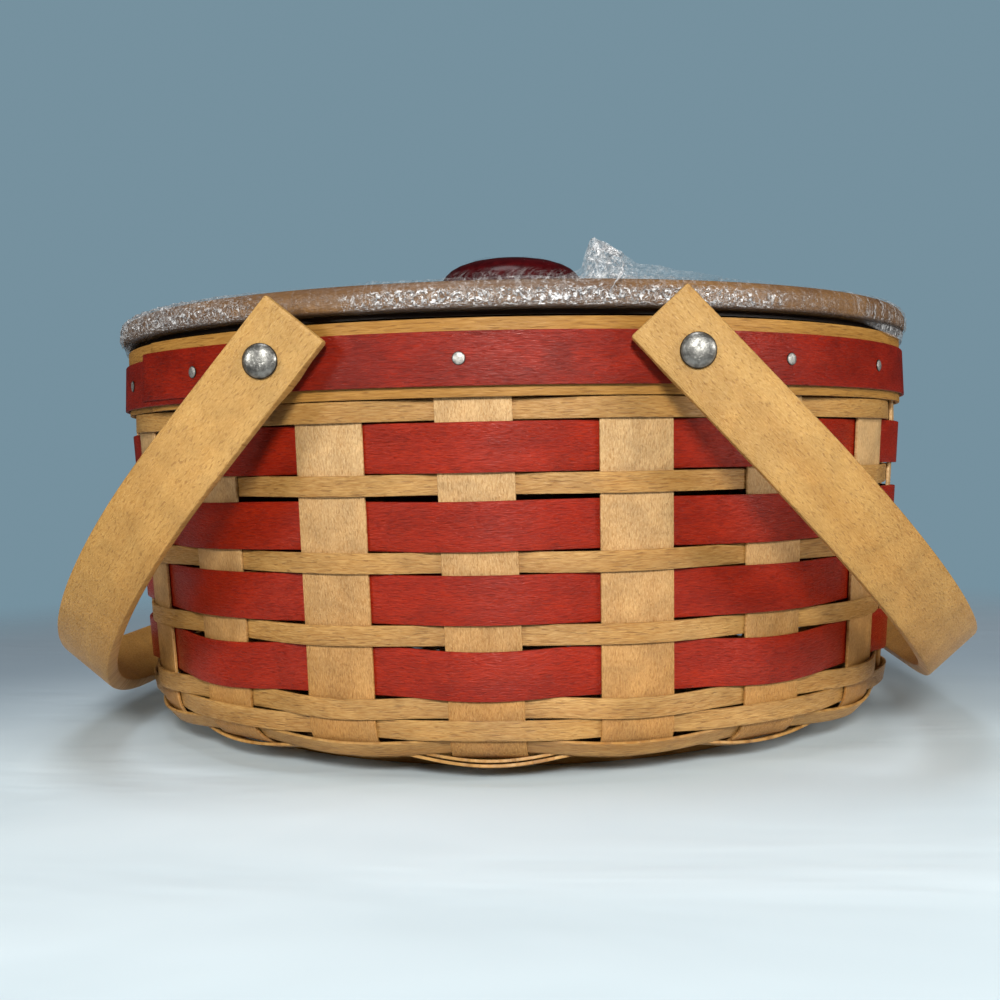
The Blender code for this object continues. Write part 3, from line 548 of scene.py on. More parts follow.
# Rim bands
# An inner band and an outer band of thicker splint clamp the stake tops, and a red-stained trim band
# lies over the outer one. The outer two lap over their own tapered starts near the left handle.
BAND_BOTTOM, RIM_TOP = 0.128221, 0.153621
BAND_INNER, BAND_THICKNESS = 0.162, 0.0015
INNER_BAND_OUTER, INNER_BAND_THICKNESS = 0.1597, 0.0018
TRIM_BOTTOM, TRIM_TOP, TRIM_THICKNESS = 0.132021, 0.149621, 0.0011
TRIM_FLARE, TRIM_CLIMB, SEAT = 0.0006, 0.0021, 0.0003
LAP_TURN = math.radians(15.6)
BAND_LAP_END, TRIM_LAP_END = math.radians(-51.0), math.radians(-52.4)
LAP_START_SHARE, LAP_END_SHARE = 0.45, 0.55
BAND_FALL = 0.012 / BAND_INNER


def band_surface(turn):
    """Radius of the outer band's outside, which swells where its own ends lap."""
    past = turn - BAND_LAP_END
    share = 1 - past / LAP_TURN if past > 0 else 1 + past / BAND_FALL
    return BAND_INNER + BAND_THICKNESS + (SEAT + BAND_THICKNESS * LAP_END_SHARE) * max(share, 0)


def lapped_shape(base, thickness, lap_end):
    """For each share of the way round: the turn, the middle radius and the thickness of a lapped band."""

    def shape(run):
        course = run * (math.tau + LAP_TURN)
        turn = (lap_end + LAP_TURN - course + math.pi) % math.tau - math.pi
        inner = base(turn)
        depth = thickness * (LAP_START_SHARE + (1 - LAP_START_SHARE) * min(course / LAP_TURN, 1))
        if course >= math.tau:
            over = (course - math.tau) / LAP_TURN
            inner += thickness * (LAP_START_SHARE + (1 - LAP_START_SHARE) * over) + SEAT / 2
            thin = thickness * (1 - LAP_START_SHARE) - SEAT / 2
            depth = thin + (thickness * LAP_END_SHARE - thin) * over
        return turn, inner + depth / 2, depth / thickness

    return shape


def lapped_band(name, base, thickness, bottom, top, flare, climb, lap_end, finish):
    """A band over the base surface that leans out by the flare and climbs over its own start."""
    shape = lapped_shape(base, thickness, lap_end)

    def band_place(run, across):
        turn, radius, _ = shape(run)
        lean = flare * (0.5 - across / (top - bottom))
        sunk = climb * (1 - run)
        return outward(turn) * (radius + lean) + Vector((0, 0, (top + bottom) / 2 + across - sunk))

    length = (math.tau + LAP_TURN) * BAND_INNER
    return splint(name, length, top - bottom, band_place, thickness, finish, share=lambda run: shape(run)[2])


def inner_band_place(run, across):
    middle = (RIM_TOP + BAND_BOTTOM) / 2
    radius = INNER_BAND_OUTER - INNER_BAND_THICKNESS / 2
    return outward(run * math.tau) * radius + Vector((0, 0, middle + across))


def trim_seat(turn):
    """The surface that the trim lies on."""
    return band_surface(turn) + SEAT / 3


inner_band = splint(
    "inner_rim_hoop", math.tau * INNER_BAND_OUTER, RIM_TOP - BAND_BOTTOM, inner_band_place,
    INNER_BAND_THICKNESS, band_maple, hoop=True,
)
outer_band = lapped_band(
    "outer_rim_hoop", lambda turn: BAND_INNER, BAND_THICKNESS, BAND_BOTTOM, RIM_TOP,
    flare=0, climb=0, lap_end=BAND_LAP_END, finish=band_maple,
)
trim_stain = splint_finish(
    "trim_stain", (0.31, 0.019, 0.005), (0.20, 0.009, 0.003), (0.12, 0.005, 0.002),
    grain=(0.9, 0.4, 0.95, 0.35, 0.38), gloss=0.34, relief=0.7, sheen=0.30,
)
red_trim = lapped_band(
    "red_rim_trim", trim_seat, TRIM_THICKNESS, TRIM_BOTTOM, TRIM_TOP,
    flare=TRIM_FLARE, climb=TRIM_CLIMB, lap_end=TRIM_LAP_END, finish=trim_stain,
)
for band, node in ((inner_band, "rim_inner_band"), (outer_band, "rim_outer_band"), (red_trim, "red_trim_band")):
    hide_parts(node)
    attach(band, "basket")

# Trim tacks
# Ten small round-headed tacks go through the trim and the outer band all round the rim.
TACK_TURNS = [math.radians(turn) for turn in (-2, 39, 59, 90, 121, 180, -121, -90, -59, -39)]
TACK_HEAD, TACK_RISE, TACK_SHANK = 0.0022, 0.0007, 0.0008


def turned(name, profile, sides):
    """A turned piece: a disc drawn step by step along a profile of (radius, height)."""
    bpy.ops.object.select_all(action="DESELECT")
    radius, height = profile[0]
    bpy.ops.mesh.primitive_circle_add(vertices=sides, radius=radius, location=(0, 0, height), fill_type="NGON")
    made = named(name)
    bpy.ops.object.transform_apply(location=True, rotation=False, scale=False)
    bpy.ops.object.mode_set(mode="EDIT")
    bpy.ops.mesh.select_all(action="SELECT")
    for next_radius, next_height in profile[1:]:
        bpy.ops.mesh.extrude_region_move(TRANSFORM_OT_translate={"value": (0, 0, next_height - height)})
        bpy.ops.transform.resize(
            value=(next_radius / radius, next_radius / radius, 1), center_override=(0, 0, next_height)
        )
        radius, height = next_radius, next_height
    bpy.ops.object.mode_set(mode="OBJECT")
    over_whole_mesh(weld, face_outwards)
    widest = max(point[0] for point in profile)
    spread = made.data.attributes.new("spread", "FLOAT", "POINT")
    for vertex, held in zip(made.data.vertices, spread.data):
        held.value = vertex.co.xy.length / widest
    return made


def rounded(made, width, angle):
    """Eases the edges of a metal piece that are sharper than the angle."""
    bevel = made.modifiers.new("eased edges", "BEVEL")
    bevel.width, bevel.segments, bevel.limit_method, bevel.angle_limit = width, 2, "ANGLE", math.radians(angle)
    bpy.ops.object.modifier_apply(modifier=bevel.name)
    bpy.ops.object.shade_smooth_by_angle(angle=math.radians(35))


def settle(made, turned_matrix):
    """Moves a finished piece to its place in the basket and applies it."""
    bpy.ops.object.select_all(action="DESELECT")
    made.select_set(True)
    bpy.context.view_layer.objects.active = made
    made.matrix_world = turned_matrix
    bpy.ops.object.transform_apply(location=True, rotation=True, scale=True)


def metal_finish(name, bright, dull, rough, scale, rim_shade_start):
    """Worn metal that changes in soft patches, with pits, and painted shade as a dark line round its edge."""
    made, tree, shader = finish_named(name)
    place = wire(tree, "ShaderNodeTexCoord").outputs["Object"]
    patches = drawn_noise(tree, place, (scale,) * 3, 4)
    colour = graded(tree, patches, [(0.35, (*dull, 1)), (0.65, (*bright, 1))])
    spread = wire(tree, "ShaderNodeAttribute", attribute_name="spread").outputs["Fac"]
    # Painted shade: the outermost part of the head, where it meets the wood, turns nearly black.
    edge = ranged(tree, spread, rim_shade_start, 0.985)
    tree.links.new(mixed(tree, edge, colour, (0.02, 0.019, 0.018, 1)), shader.inputs["Base Color"])
    tree.links.new(ranged(tree, patches, 0.3, 0.7, rough + 0.14, rough - 0.06), shader.inputs["Roughness"])
    pits = ranged(tree, drawn_noise(tree, place, (scale * 5,) * 3, 2), 0.30, 0.45)
    embossed(tree, shader, pits, 0.35, 0.00015)
    shader.inputs["Metallic"].default_value = 1.0
    return made


tack_steel = metal_finish("tack_steel", (0.60, 0.59, 0.56), (0.32, 0.31, 0.29), 0.5, 900, 0.80)
trim_shape = lapped_shape(trim_seat, TRIM_THICKNESS, TRIM_LAP_END)
for number, turn in enumerate(TACK_TURNS, 1):
    course = (TRIM_LAP_END + LAP_TURN - turn) % math.tau
    if course < LAP_TURN:
        course += math.tau
    _, middle, share = trim_shape(course / (math.tau + LAP_TURN))
    surface = middle + TRIM_THICKNESS * share / 2 + TRIM_FLARE / 2
    level = (TRIM_TOP + TRIM_BOTTOM) / 2 - TRIM_CLIMB * (1 - course / (math.tau + LAP_TURN))
    shank_end = BAND_INNER + SEAT - surface
    head = [(TACK_SHANK * 0.4, shank_end), (TACK_SHANK, shank_end + 0.0006), (TACK_SHANK, 0), (TACK_HEAD, 0)]
    head += [(TACK_HEAD, 0.0003), (TACK_HEAD * 0.72, TACK_RISE * 0.85), (TACK_HEAD * 0.3, TACK_RISE)]
    tack = turned(f"trim_nail_{number:02d}", head, 20)
    rounded(tack, 0.0001, 30)
    way = outward(turn).to_track_quat("Z", "Y").to_matrix().to_4x4()
    settle(tack, Matrix.Translation(outward(turn) * surface + Vector((0, 0, level))) @ way)
    tack.data.materials.append(tack_steel)
    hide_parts(f"trim_tack_{number:02d}")
    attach(tack, "basket")

# Swing handles
# Each is one flat strip of maple, steamed and bent to an arch, with square ends eased by sanding and a
# thicker ear inside each end where the rivet passes. They hang down against the sides.
PIVOT_X, PIVOT_LEVEL = 0.070002, 0.141121
HANDLE_WIDTH, HANDLE_THICKNESS, HANDLE_LENGTH, HANDLE_TAIL = 0.0245, 0.006, 0.1565, 0.0178
HANDLE_STRAIGHT, CROWN_FLAT, ARCH_STEPS = 0.042, 0.022, 40
LEG_INNER, EAR_FACE = 0.159608, 0.155874
EAR_HALF, EAR_SLOPE, EAR_REACH = 0.003, 0.007, 0.002
REST_HANG, RIGHT_EXTRA = math.radians(39.711), math.radians(2.7)
handle_maple = splint_finish(
    "handle_maple", (0.53, 0.325, 0.108), (0.37, 0.195, 0.05), (0.24, 0.11, 0.03),
    grain=(0.45, 0.45, 0.6, 0.5, 0.2), gloss=0.42, relief=0.5, sheen=0.35,
)
deepened(handle_maple, 0.030, 0.140, (0.95, 0.86, 0.70))
leg_middle = LEG_INNER + HANDLE_THICKNESS / 2
crown_depth = HANDLE_LENGTH - HANDLE_THICKNESS / 2 - HANDLE_STRAIGHT
crown_width = leg_middle - CROWN_FLAT


def between(table, place):
    """The values that a table of (place, value, ...) gives at this place, straight between its rows."""
    for here, there in zip(table, table[1:]):
        if place <= there[0]:
            break
    share = (place - here[0]) / (there[0] - here[0])
    return [first + (second - first) * share for first, second in zip(here[1:], there[1:])]


arch_points = [Vector((leg_middle, -HANDLE_TAIL)), Vector((leg_middle, HANDLE_STRAIGHT))]
for step in range(1, ARCH_STEPS + 1):
    bend = math.pi / 2 * step / ARCH_STEPS
    side, drop = CROWN_FLAT + crown_width * math.cos(bend), HANDLE_STRAIGHT + crown_depth * math.sin(bend)
    arch_points.append(Vector((side, drop)))
arch_points.append(Vector((0, HANDLE_STRAIGHT + crown_depth)))
half_arch = [(0.0, *arch_points[0])]
for before, after in zip(arch_points, arch_points[1:]):
    half_arch.append((half_arch[-1][0] + (after - before).length, *after))
strip_length = 2 * half_arch[-1][0]


def arch_place(run, across):
    distance = run * strip_length
    front = distance < strip_length / 2
    side, drop = between(half_arch, distance if front else strip_length - distance)
    return Vector((across, -side if front else side, -drop))


for body, side, hang in (("left_handle", -1, REST_HANG), ("right_handle", 1, REST_HANG + RIGHT_EXTRA)):
    arch = splint(
        f"{body}_arch", strip_length, HANDLE_WIDTH, arch_place, HANDLE_THICKNESS, handle_maple,
        ease=0.0009, lanes=6, step=0.002,
    )
    for vertex in arch.data.vertices:
        point = vertex.co
        near = abs(point.z)
        if near < EAR_HALF + EAR_SLOPE and LEG_INNER - EAR_REACH < abs(point.y) < leg_middle:
            thicker = min((EAR_HALF + EAR_SLOPE - near) / EAR_SLOPE, 1) * (LEG_INNER - EAR_FACE)
            inner_share = min((leg_middle - abs(point.y)) / (HANDLE_THICKNESS / 2), 1)
            point.y -= math.copysign(thicker * inner_share, point.y)
    settle(arch, Matrix.Translation((side * PIVOT_X, 0, PIVOT_LEVEL)) @ Matrix.Rotation(-side * hang, 4, "Y"))
    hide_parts(body)
    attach(arch, body)

# Handle rivets
# Domed antique-steel rivets carry the handles, with a wooden spacer between handle and rim and a burr
# inside the rim that the shank is clenched over.
HEAD_SEAT, RIVET_HEAD, RIVET_RISE, RIVET_SHANK = 0.165908, 0.0058, 0.0025, 0.0021
BURR_FACE, TAIL_RADIUS, TAIL_RISE = 0.1378, 0.0031, 0.0008
TAIL_SEAT = BURR_FACE - SEAT
RIVET_ENDS = {"left_front": (-1, -1), "left_back": (-1, 1), "right_front": (1, -1), "right_back": (1, 1)}
rivet_steel = metal_finish("antique_steel", (0.34, 0.34, 0.32), (0.11, 0.11, 0.105), 0.36, 420, 0.93)
rivet_profile = [
    (TAIL_RADIUS * 0.6, TAIL_SEAT - TAIL_RISE - HEAD_SEAT),
    (TAIL_RADIUS, TAIL_SEAT - TAIL_RISE * 0.3 - HEAD_SEAT),
    (TAIL_RADIUS, TAIL_SEAT - HEAD_SEAT),
    (RIVET_SHANK, TAIL_SEAT - HEAD_SEAT),
    (RIVET_SHANK, 0),
    (RIVET_HEAD, 0),
    (RIVET_HEAD, 0.0007),
    (RIVET_HEAD * 0.93, RIVET_RISE * 0.5),
    (RIVET_HEAD * 0.76, RIVET_RISE * 0.78),
    (RIVET_HEAD * 0.52, RIVET_RISE * 0.93),
    (RIVET_HEAD * 0.26, RIVET_RISE * 0.99),
]
for node, (side, end) in RIVET_ENDS.items():
    rivet = turned(f"rivet_{node}", rivet_profile, 48)
    rounded(rivet, 0.00025, 40)
    way = Matrix.Rotation(-end * math.pi / 2, 4, "X")
    settle(rivet, Matrix.Translation((side * PIVOT_X, end * HEAD_SEAT, PIVOT_LEVEL)) @ way)
    rivet.data.materials.append(rivet_steel)
    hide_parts(f"handle_rivet_{node}")
    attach(rivet, "basket")

# Lid
# A round panel of pine with a full round edge, varnished brown. Its underside is stepped back where it
# sits on the rim, and a ring under it drops inside the rim.
LID_BOTTOM, LID_THICKNESS, LID_RADIUS = 0.154721, 0.011, 0.1656
UPPER_EASE, LOWER_EASE, SLOT_HEIGHT, SLOT_RADIUS = 0.0046, 0.0026, 0.0015, 0.1585
LID_TOP, GRAIN_TWIST = LID_BOTTOM + LID_THICKNESS, 0.12
lid_pine, tree, shader = finish_named("lid_pine")
place = wire(tree, "ShaderNodeTexCoord").outputs["Object"]
figure = ranged(tree, drawn_noise(tree, place, (4, 55, 90), 3, 0.5, GRAIN_TWIST), 0.33, 0.67)
pores = ranged(tree, drawn_noise(tree, place, (90, 1100, 1100), 2, 0.5, GRAIN_TWIST), 0.40, 0.66)
pine_colour = graded(tree, figure, [(0.0, (0.120, 0.054, 0.015, 1)), (1.0, (0.225, 0.112, 0.032, 1))])
speckled = mixed(tree, worked(tree, pores, 0.45), pine_colour, (0.09, 0.04, 0.014, 1))
tree.links.new(speckled, shader.inputs["Base Color"])
lip_bottom = LID_BOTTOM + SLOT_HEIGHT
# Painted shade: the lid's wood turns nearly black at its stepped-back underside and the foot of its rounded
# edge, where it sits in shadow above the rim.
deepened(lid_pine, lip_bottom + 0.0002, lip_bottom + 0.0014, (0.12, 0.10, 0.09))
embossed(tree, shader, pores, 0.25, 0.0002)
shader.inputs["Roughness"].default_value = 0.5


def round_edge(radius, bottom, top, lower, upper, steps=6):
    """A rounded edge from its underside to its top side, as (radius, height)."""
    points = []
    for step in range(steps + 1):
        bend = math.pi / 2 * step / steps
        points.append((radius - lower * (1 - math.sin(bend)), bottom + lower * (1 - math.cos(bend))))
    for step in range(steps + 1):
        bend = math.pi / 2 * step / steps
        points.append((radius - upper * (1 - math.cos(bend)), top - upper * (1 - math.sin(bend))))
    return points


panel_profile = [(SLOT_RADIUS, LID_BOTTOM), (SLOT_RADIUS, lip_bottom)]
panel_profile += round_edge(LID_RADIUS, lip_bottom, LID_TOP, LOWER_EASE, UPPER_EASE)
panel = turned("lid_board", panel_profile, 200)
bpy.ops.object.shade_smooth_by_angle(angle=math.radians(40))
panel.data.materials.append(lid_pine)
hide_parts("lid_panel")
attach(panel, "lid")

# Knob
# A turned wooden knob with a broad shallow cap, painted a very dark glossy red, on a short neck.
KNOB_RADIUS, KNOB_HEIGHT = 0.031, 0.0312
knob_base = LID_TOP + 0.0003
knob_paint, tree, shader = finish_named("knob_paint")
place = wire(tree, "ShaderNodeTexCoord").outputs["Object"]
orange = drawn_noise(tree, place, (260,) * 3, 2)
colour = graded(tree, orange, [(0.3, (0.028, 0.0012, 0.002, 1)), (0.7, (0.055, 0.0025, 0.0035, 1))])
tree.links.new(colour, shader.inputs["Base Color"])
embossed(tree, shader, orange, 0.06, 0.0004)
shader.inputs["Roughness"].default_value = 0.2
shader.inputs["Specular IOR Level"].default_value = 0.12
NECK_SHARES = [
    (0.565, 0), (0.565, 0.04), (0.50, 0.07), (0.43, 0.14), (0.40, 0.24), (0.42, 0.34), (0.53, 0.40),
    (0.74, 0.43),
]
CAP_SHARES = [
    (0.93, 0.46), (0.975, 0.495), (1.0, 0.55), (0.995, 0.61), (0.97, 0.67), (0.93, 0.725), (0.86, 0.79),
    (0.76, 0.845), (0.60, 0.90), (0.42, 0.935), (0.22, 0.95),
]
knob_profile = [(KNOB_RADIUS * wide, knob_base + KNOB_HEIGHT * tall) for wide, tall in NECK_SHARES + CAP_SHARES]
knob = turned("lid_knob_turning", knob_profile, 96)
bpy.ops.object.shade_smooth_by_angle(angle=math.radians(40))
knob.data.materials.append(knob_paint)
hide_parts("lid_knob")
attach(knob, "lid")

# Shrink film
# Clear plastic film drawn over the lid and the knob, shrunk tight round the edge, where it puckers and
# glints like silver, and gathered into a crumpled tuft near the front.
FILM_GAP, FILM_LIP = 0.0004, 0.0062
FILM_LIMIT, FREE_LIMIT, LEG_SPAN = 0.16635, 0.16745, (0.044, 0.096)
FILM_FOOT, KNOB_TIP = 0.044, 0.955
BROAD_PUCKER, FINE_PUCKER, TOP_LIFT, KNOB_LIFT = 0.0011, 0.0005, 0.0016, 0.0006
RIGHT_SKIRT, LEFT_SKIRT = (52, 66, 96, 112, 0.0034), (58, 70, 100, 116, 0.0026)
film_clear, tree, shader = finish_named("clear_film")
film_map = wire(tree, "ShaderNodeUVMap", uv_map="strip").outputs[0]


def film_value(name):
    return wire(tree, "ShaderNodeAttribute", attribute_name=name).outputs["Fac"]


def film_noise(scale, detail, waviness):
    return drawn_noise(tree, film_map, (*scale, 1), detail, waviness)


def film_math(first, second, operation="MULTIPLY"):
    return worked(tree, first, second, operation, clamp=True)


def hairs(scale, detail, waviness, width):
    """Thin curly lines where a noise crosses its middle value."""
    away = worked(tree, worked(tree, film_noise(scale, detail, waviness), 0.5, "SUBTRACT"), 0.0, "ABSOLUTE")
    return ranged(tree, away, 0.0, width, 1, 0)


def spots(scale, low, high):
    return ranged(tree, film_noise(scale, 2, 0.8), low, high)


curls = hairs((230, 300), 1, 2.2, 0.045)
fine = hairs((520, 640), 1, 1.5, 0.05)
upright = hairs((260, 30), 1, 0.6, 0.05)
glitter = spots((620, 760), 0.53, 0.62)
# Painted glints: where the glints attribute is high, the film turns opaque in curly lines and specks that stand
# for light caught in its crinkles.
crushed = film_math(film_math(glitter, film_math(fine, 0.6), "MAXIMUM"), film_math(curls, 0.9), "MAXIMUM")
silver = film_math(film_math(crushed, spots((90, 130), 0.24, 0.44)), film_value("glints"))
# Painted highlights along the film's upright folds; the film's own faint haze is added to both.
painted_fold_highlights = film_math(film_math(upright, spots((110, 60), 0.34, 0.50)), film_value("folds"))
cover = film_math(film_math(silver, painted_fold_highlights, "MAXIMUM"), film_value("haze"), "ADD")
tree.links.new(cover, shader.inputs["Alpha"])
# Painted reflection: the film's colour runs between dark grey and near white in fine noise, so its opaque marks
# read as silver.
painted_reflection_tone = graded(
    tree, film_noise((700, 700), 2, 0.5), [(0.38, (0.32, 0.33, 0.35, 1)), (0.58, (0.93, 0.94, 0.96, 1))]
)
tree.links.new(painted_reflection_tone, shader.inputs["Base Color"])
relief = film_math(film_math(curls, 0.6), film_math(film_noise((330, 420), 3, 1.0), 0.9), "ADD")
embossed(tree, shader, relief, 1.0, 0.0012)
shader.inputs["Roughness"].default_value = 0.16
# turn from the front in degrees, then painted glints low on the edge, painted glints high on it, and painted
# highlights on upright folds
FILM_ZONES = [
    (-180, 0.6, 0.3, 0.2), (-110, 0.8, 0.6, 0.4), (-82, 1.0, 0.95, 0.5), (-58, 1.0, 0.9, 0.5),
    (-40, 0.85, 0.6, 0.4), (-30, 0.6, 0.3, 0.2), (-25, 0.12, 0.05, 0.05), (-16, 0.12, 0.05, 0.1),
    (-13, 1.0, 0.10, 0.2), (0, 1.0, 0.15, 0.3), (9, 1.0, 0.30, 0.35), (18, 1.0, 0.18, 0.3),
    (26, 1.0, 0.12, 0.3), (34, 1.0, 0.08, 0.2), (38, 0.3, 0.05, 0.1), (50, 0.12, 0.05, 0.15),
    (56, 0.2, 0.1, 0.9), (80, 0.35, 0.25, 1.0), (110, 0.6, 0.35, 0.6), (180, 0.6, 0.3, 0.2),
]
film_edge = round_edge(
    LID_RADIUS + FILM_GAP, lip_bottom - FILM_GAP, LID_TOP + FILM_GAP, LOWER_EASE, UPPER_EASE + FILM_GAP, steps=5
)
# share of the way from the lip to the knob's top, then radius and height
stations = [(0.0, LID_RADIUS - FILM_LIP, lip_bottom - FILM_GAP)]
stations += [(0.06 + 0.40 * step / (len(film_edge) - 1), *point) for step, point in enumerate(film_edge)]
stations += [(0.70, FILM_FOOT, LID_TOP + FILM_GAP)]
for step, (wide, tall) in enumerate(CAP_SHARES[2:]):
    cap = (KNOB_RADIUS * wide + FILM_GAP, knob_base + KNOB_HEIGHT * tall + FILM_GAP)
    stations.append((0.78 + 0.21 * step / 8, *cap))
stations.append((1.0, 0.0005, knob_base + KNOB_HEIGHT * KNOB_TIP + FILM_GAP))


def film_section(share):
    """Radius, height and outward normal of the film's section at this share."""
    for here, there in zip(stations, stations[1:]):
        if share <= there[0]:
            break
    run = Vector((there[1] - here[1], there[2] - here[2])).normalized()
    return *between((here, there), share), Vector((run.y, -run.x))


def film_uv(point):
    radius = LID_RADIUS if point.y < 0 else max(film_section(point.y + 0.5)[0], 0.03)
    return (point.x + 0.5) * math.tau * radius, (point.y + 0.5) * 0.055


def ridges(vector):
    return abs(noise.noise(vector))


bpy.ops.object.select_all(action="DESELECT")
bpy.ops.mesh.primitive_grid_add(x_subdivisions=840, y_subdivisions=96, size=1)
film = named("film_wrap")
strip_map(film.data, film_uv)
looks = {name: film.data.attributes.new(name, "FLOAT", "POINT") for name in ("glints", "folds", "haze")}
for vertex in film.data.vertices:
    turn, share = vertex.co.x * math.tau, vertex.co.y + 0.5
    radius, height, normal = film_section(share)
    degrees = math.degrees(turn)
    low, high, folds = between(FILM_ZONES, (degrees + 180) % 360 - 180)
    way = Vector((math.sin(turn), math.cos(turn), 0))
    around = way * 40 + Vector((0, 0, share * 26))
    pucker = ridges(around) * BROAD_PUCKER + ridges(around * 2.9) * FINE_PUCKER
    crushing = eased(share, 0.08, 0.16) * (1 - eased(share, 0.42, 0.5))
    on_knob = eased(share, 0.74, 0.78)
    flat = eased(share, 0.46, 0.5) * (1 - on_knob)
    lifted = pucker * (0.12 + crushing * (0.3 + low * 0.9))
    lifted += flat * ridges(way * 9 + Vector((0, 0, 2))) * TOP_LIFT
    lifted += on_knob * ridges(way * 4 + Vector((0, 0, share * 30))) * KNOB_LIFT
    skirt = 0.0
    for bearing, (first, full, last, end, drop) in ((degrees, RIGHT_SKIRT), (-degrees, LEFT_SKIRT)):
        skirt += eased(bearing, first, full) * (1 - eased(bearing, last, end)) * drop
    reach = radius + normal.x * lifted
    if share < 0.1:
        height -= skirt * eased(share, 0.0, 0.06) * (1 - eased(share, 0.06, 0.1))
        reach += skirt * 0.3
    by_leg = LEG_SPAN[0] < abs(math.sin(turn)) * LID_RADIUS < LEG_SPAN[1]
    reach = min(reach, FILM_LIMIT if by_leg else FREE_LIMIT)
    vertex.co = outward(turn) * reach + Vector((0, 0, height + max(normal.y, 0) * lifted))
    up = (height - lip_bottom) / (LID_TOP - lip_bottom)
    rising = eased(up, 0.02, 0.12)
    banded = max(low * (1 - eased(up, 0.55, 0.82)), high) * rising * (1 - flat * 0.85)
    rimmed = eased(share, 0.76, 0.79) * (1 - eased(share, 0.80, 0.86))
    hanging = min(skirt / 0.003, 1) * (1 - eased(share, 0.08, 0.16))
    clouded = 0.006 + 0.035 * max(low * (1 - eased(up, 0.3, 0.8)), high)
    # how strongly each point shows the painted glints, the painted highlights on folds and the film's own haze
    shown = {
        "glints": max(banded * (1 - on_knob) + 0.2 * rimmed, 0.45 * hanging),
        "folds": (folds * 0.8 * rising + flat * 0.2) * (1 - on_knob) + 0.3 * rimmed,
        "haze": 0.22 * hanging + clouded * (1 - on_knob),
    }
    for look, value in shown.items():
        looks[look].data[vertex.index].value = value
over_whole_mesh(weld, face_outwards)

# along the front of the lid: distance from the middle and height above the lid of the tuft's crest
TUFT_CREST = [
    (-0.027, 0.0002), (-0.0142, 0.0005), (0.0009, 0.0010), (0.0065, 0.0010), (0.0084, 0.0016), (0.0105, 0.0010),
    (0.0233, 0.0020), (0.0289, 0.0034), (0.0335, 0.0050), (0.0352, 0.0095), (0.0370, 0.0145), (0.0384, 0.0152),
    (0.0429, 0.0122), (0.0474, 0.0098), (0.0516, 0.0062), (0.0594, 0.0054), (0.0640, 0.0037), (0.0704, 0.0028),
    (0.080, 0.0010),
]
TUFT_Y, TUFT_RISE = -0.142, 0.017
TUFT_START, TUFT_END = TUFT_CREST[0][0], TUFT_CREST[-1][0]
noise.seed_set(3)


def crest(run):
    """Distance from the middle and height of the crest at this share of the tuft's length."""
    x = TUFT_START + run * (TUFT_END - TUFT_START)
    return x, between(TUFT_CREST, x)[0]


def film_sheet(name, columns, rows, place, looks, width, height, fade=None):
    """A loose flap of the film: place(share along, share across) gives each of its points."""
    bpy.ops.object.select_all(action="DESELECT")
    bpy.ops.mesh.primitive_grid_add(x_subdivisions=columns, y_subdivisions=rows, size=1)
    made = named(name)
    strip_map(made.data, lambda point: (point.x * width + 0.3, point.y * height + 0.2))
    for look, value in looks.items():
        held = made.data.attributes.new(look, "FLOAT", "POINT")
        for vertex in made.data.vertices:
            held.data[vertex.index].value = value * (fade(vertex.co.x + 0.5) if fade else 1)
    for vertex in made.data.vertices:
        vertex.co = place(vertex.co.x + 0.5, vertex.co.y * 2)
    return made


def tuft_fade(run):
    """The film clears where the tuft lies down at its ends."""
    return 0.15 + 0.85 * min(crest(run)[1] / TUFT_RISE * 1.4, 1) ** 2


def tuft_place(run, across):
    x, rise = crest(run)
    open_share = abs(across) ** 0.85
    point = Vector((x, TUFT_Y + across * (0.004 + rise * 0.45), LID_TOP + FILM_GAP + rise * (1 - open_share)))
    loose = rise / TUFT_RISE * (1 - abs(across) ** 3)
    crumple = noise.noise_vector(Vector((x * 190, across * 2.2, 4))) * 0.0026
    crumple += noise.noise_vector(Vector((x * 520, across * 5, 9))) * 0.0011
    crumple.z *= 0.35 + 0.4 * abs(across)
    return point + crumple * min(loose * 1.3, 1)


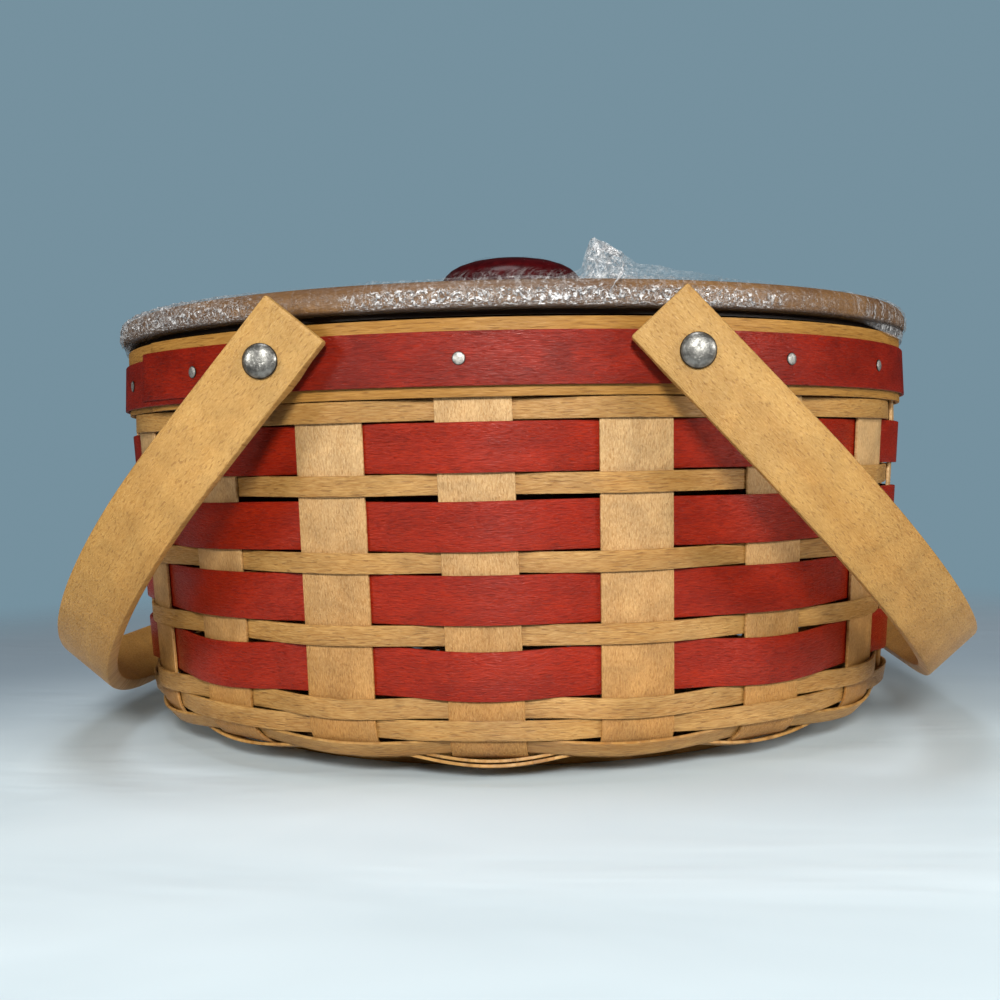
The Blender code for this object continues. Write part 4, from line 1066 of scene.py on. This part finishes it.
# the middle line of the ribbon, as places over the lid's top
RIBBON = [
    (0.0390, -0.1440, 0.0115), (0.0425, -0.1480, 0.0106), (0.0460, -0.1530, 0.0078), (0.0472, -0.1580, 0.0040),
    (0.0462, -0.1616, 0.0004), (0.0440, -0.1630, -0.0032), (0.0426, -0.1636, -0.0064),
]


def ribbon_place(run, across):
    course = run * (len(RIBBON) - 1)
    before = min(int(course), len(RIBBON) - 2)
    here, there = Vector(RIBBON[before]), Vector(RIBBON[before + 1])
    twist = Vector((math.cos(run * 5), 0.3, math.sin(run * 5))).normalized()
    width = 0.0009 + 0.0005 * math.sin(run * 9)
    return here.lerp(there, course - before) + Vector((0, 0, LID_TOP)) + twist * across * width


# The tuft and the ribbon show the same painted glints and painted fold highlights as the rest of the film, over
# its haze.
tuft_looks = {"glints": 0.55, "folds": 0.4, "haze": 0.12}
tuft = film_sheet("film_tuft", 260, 28, tuft_place, tuft_looks, TUFT_END - TUFT_START, 0.02, tuft_fade)
ribbon_looks = {"glints": 0.9, "folds": 0.5, "haze": 0.42}
ribbon = film_sheet("film_ribbon", 40, 3, ribbon_place, ribbon_looks, 0.03, 0.002)
bpy.ops.object.select_all(action="DESELECT")
for piece in (ribbon, tuft, film):
    piece.select_set(True)
bpy.context.view_layer.objects.active = film
bpy.ops.object.join()
bpy.ops.object.shade_smooth_by_angle(angle=math.radians(60))
film.data.materials.clear()
film.data.materials.append(film_clear)
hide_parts("shrink_film")
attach(film, "lid")

# Pieces that are hardly seen
# Wooden spacers behind the handles, steel burrs inside the rim, the ring under the lid and the knob's
# screw. Their solids are shown as they are, with smooth shading and the finish of what is around them.
plain_pieces = {"lid_locating_ring": lid_pine, "knob_screw": rivet_steel}
for end in RIVET_ENDS:
    plain_pieces[f"handle_spacer_{end}"] = band_maple
    plain_pieces[f"rivet_burr_{end}"] = rivet_steel
for node, finish in plain_pieces.items():
    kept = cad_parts[node]
    kept.data.materials.clear()
    kept.data.materials.append(finish)
    bpy.ops.object.select_all(action="DESELECT")
    kept.select_set(True)
    bpy.context.view_layer.objects.active = kept
    bpy.ops.object.shade_smooth_by_angle(angle=math.radians(40))
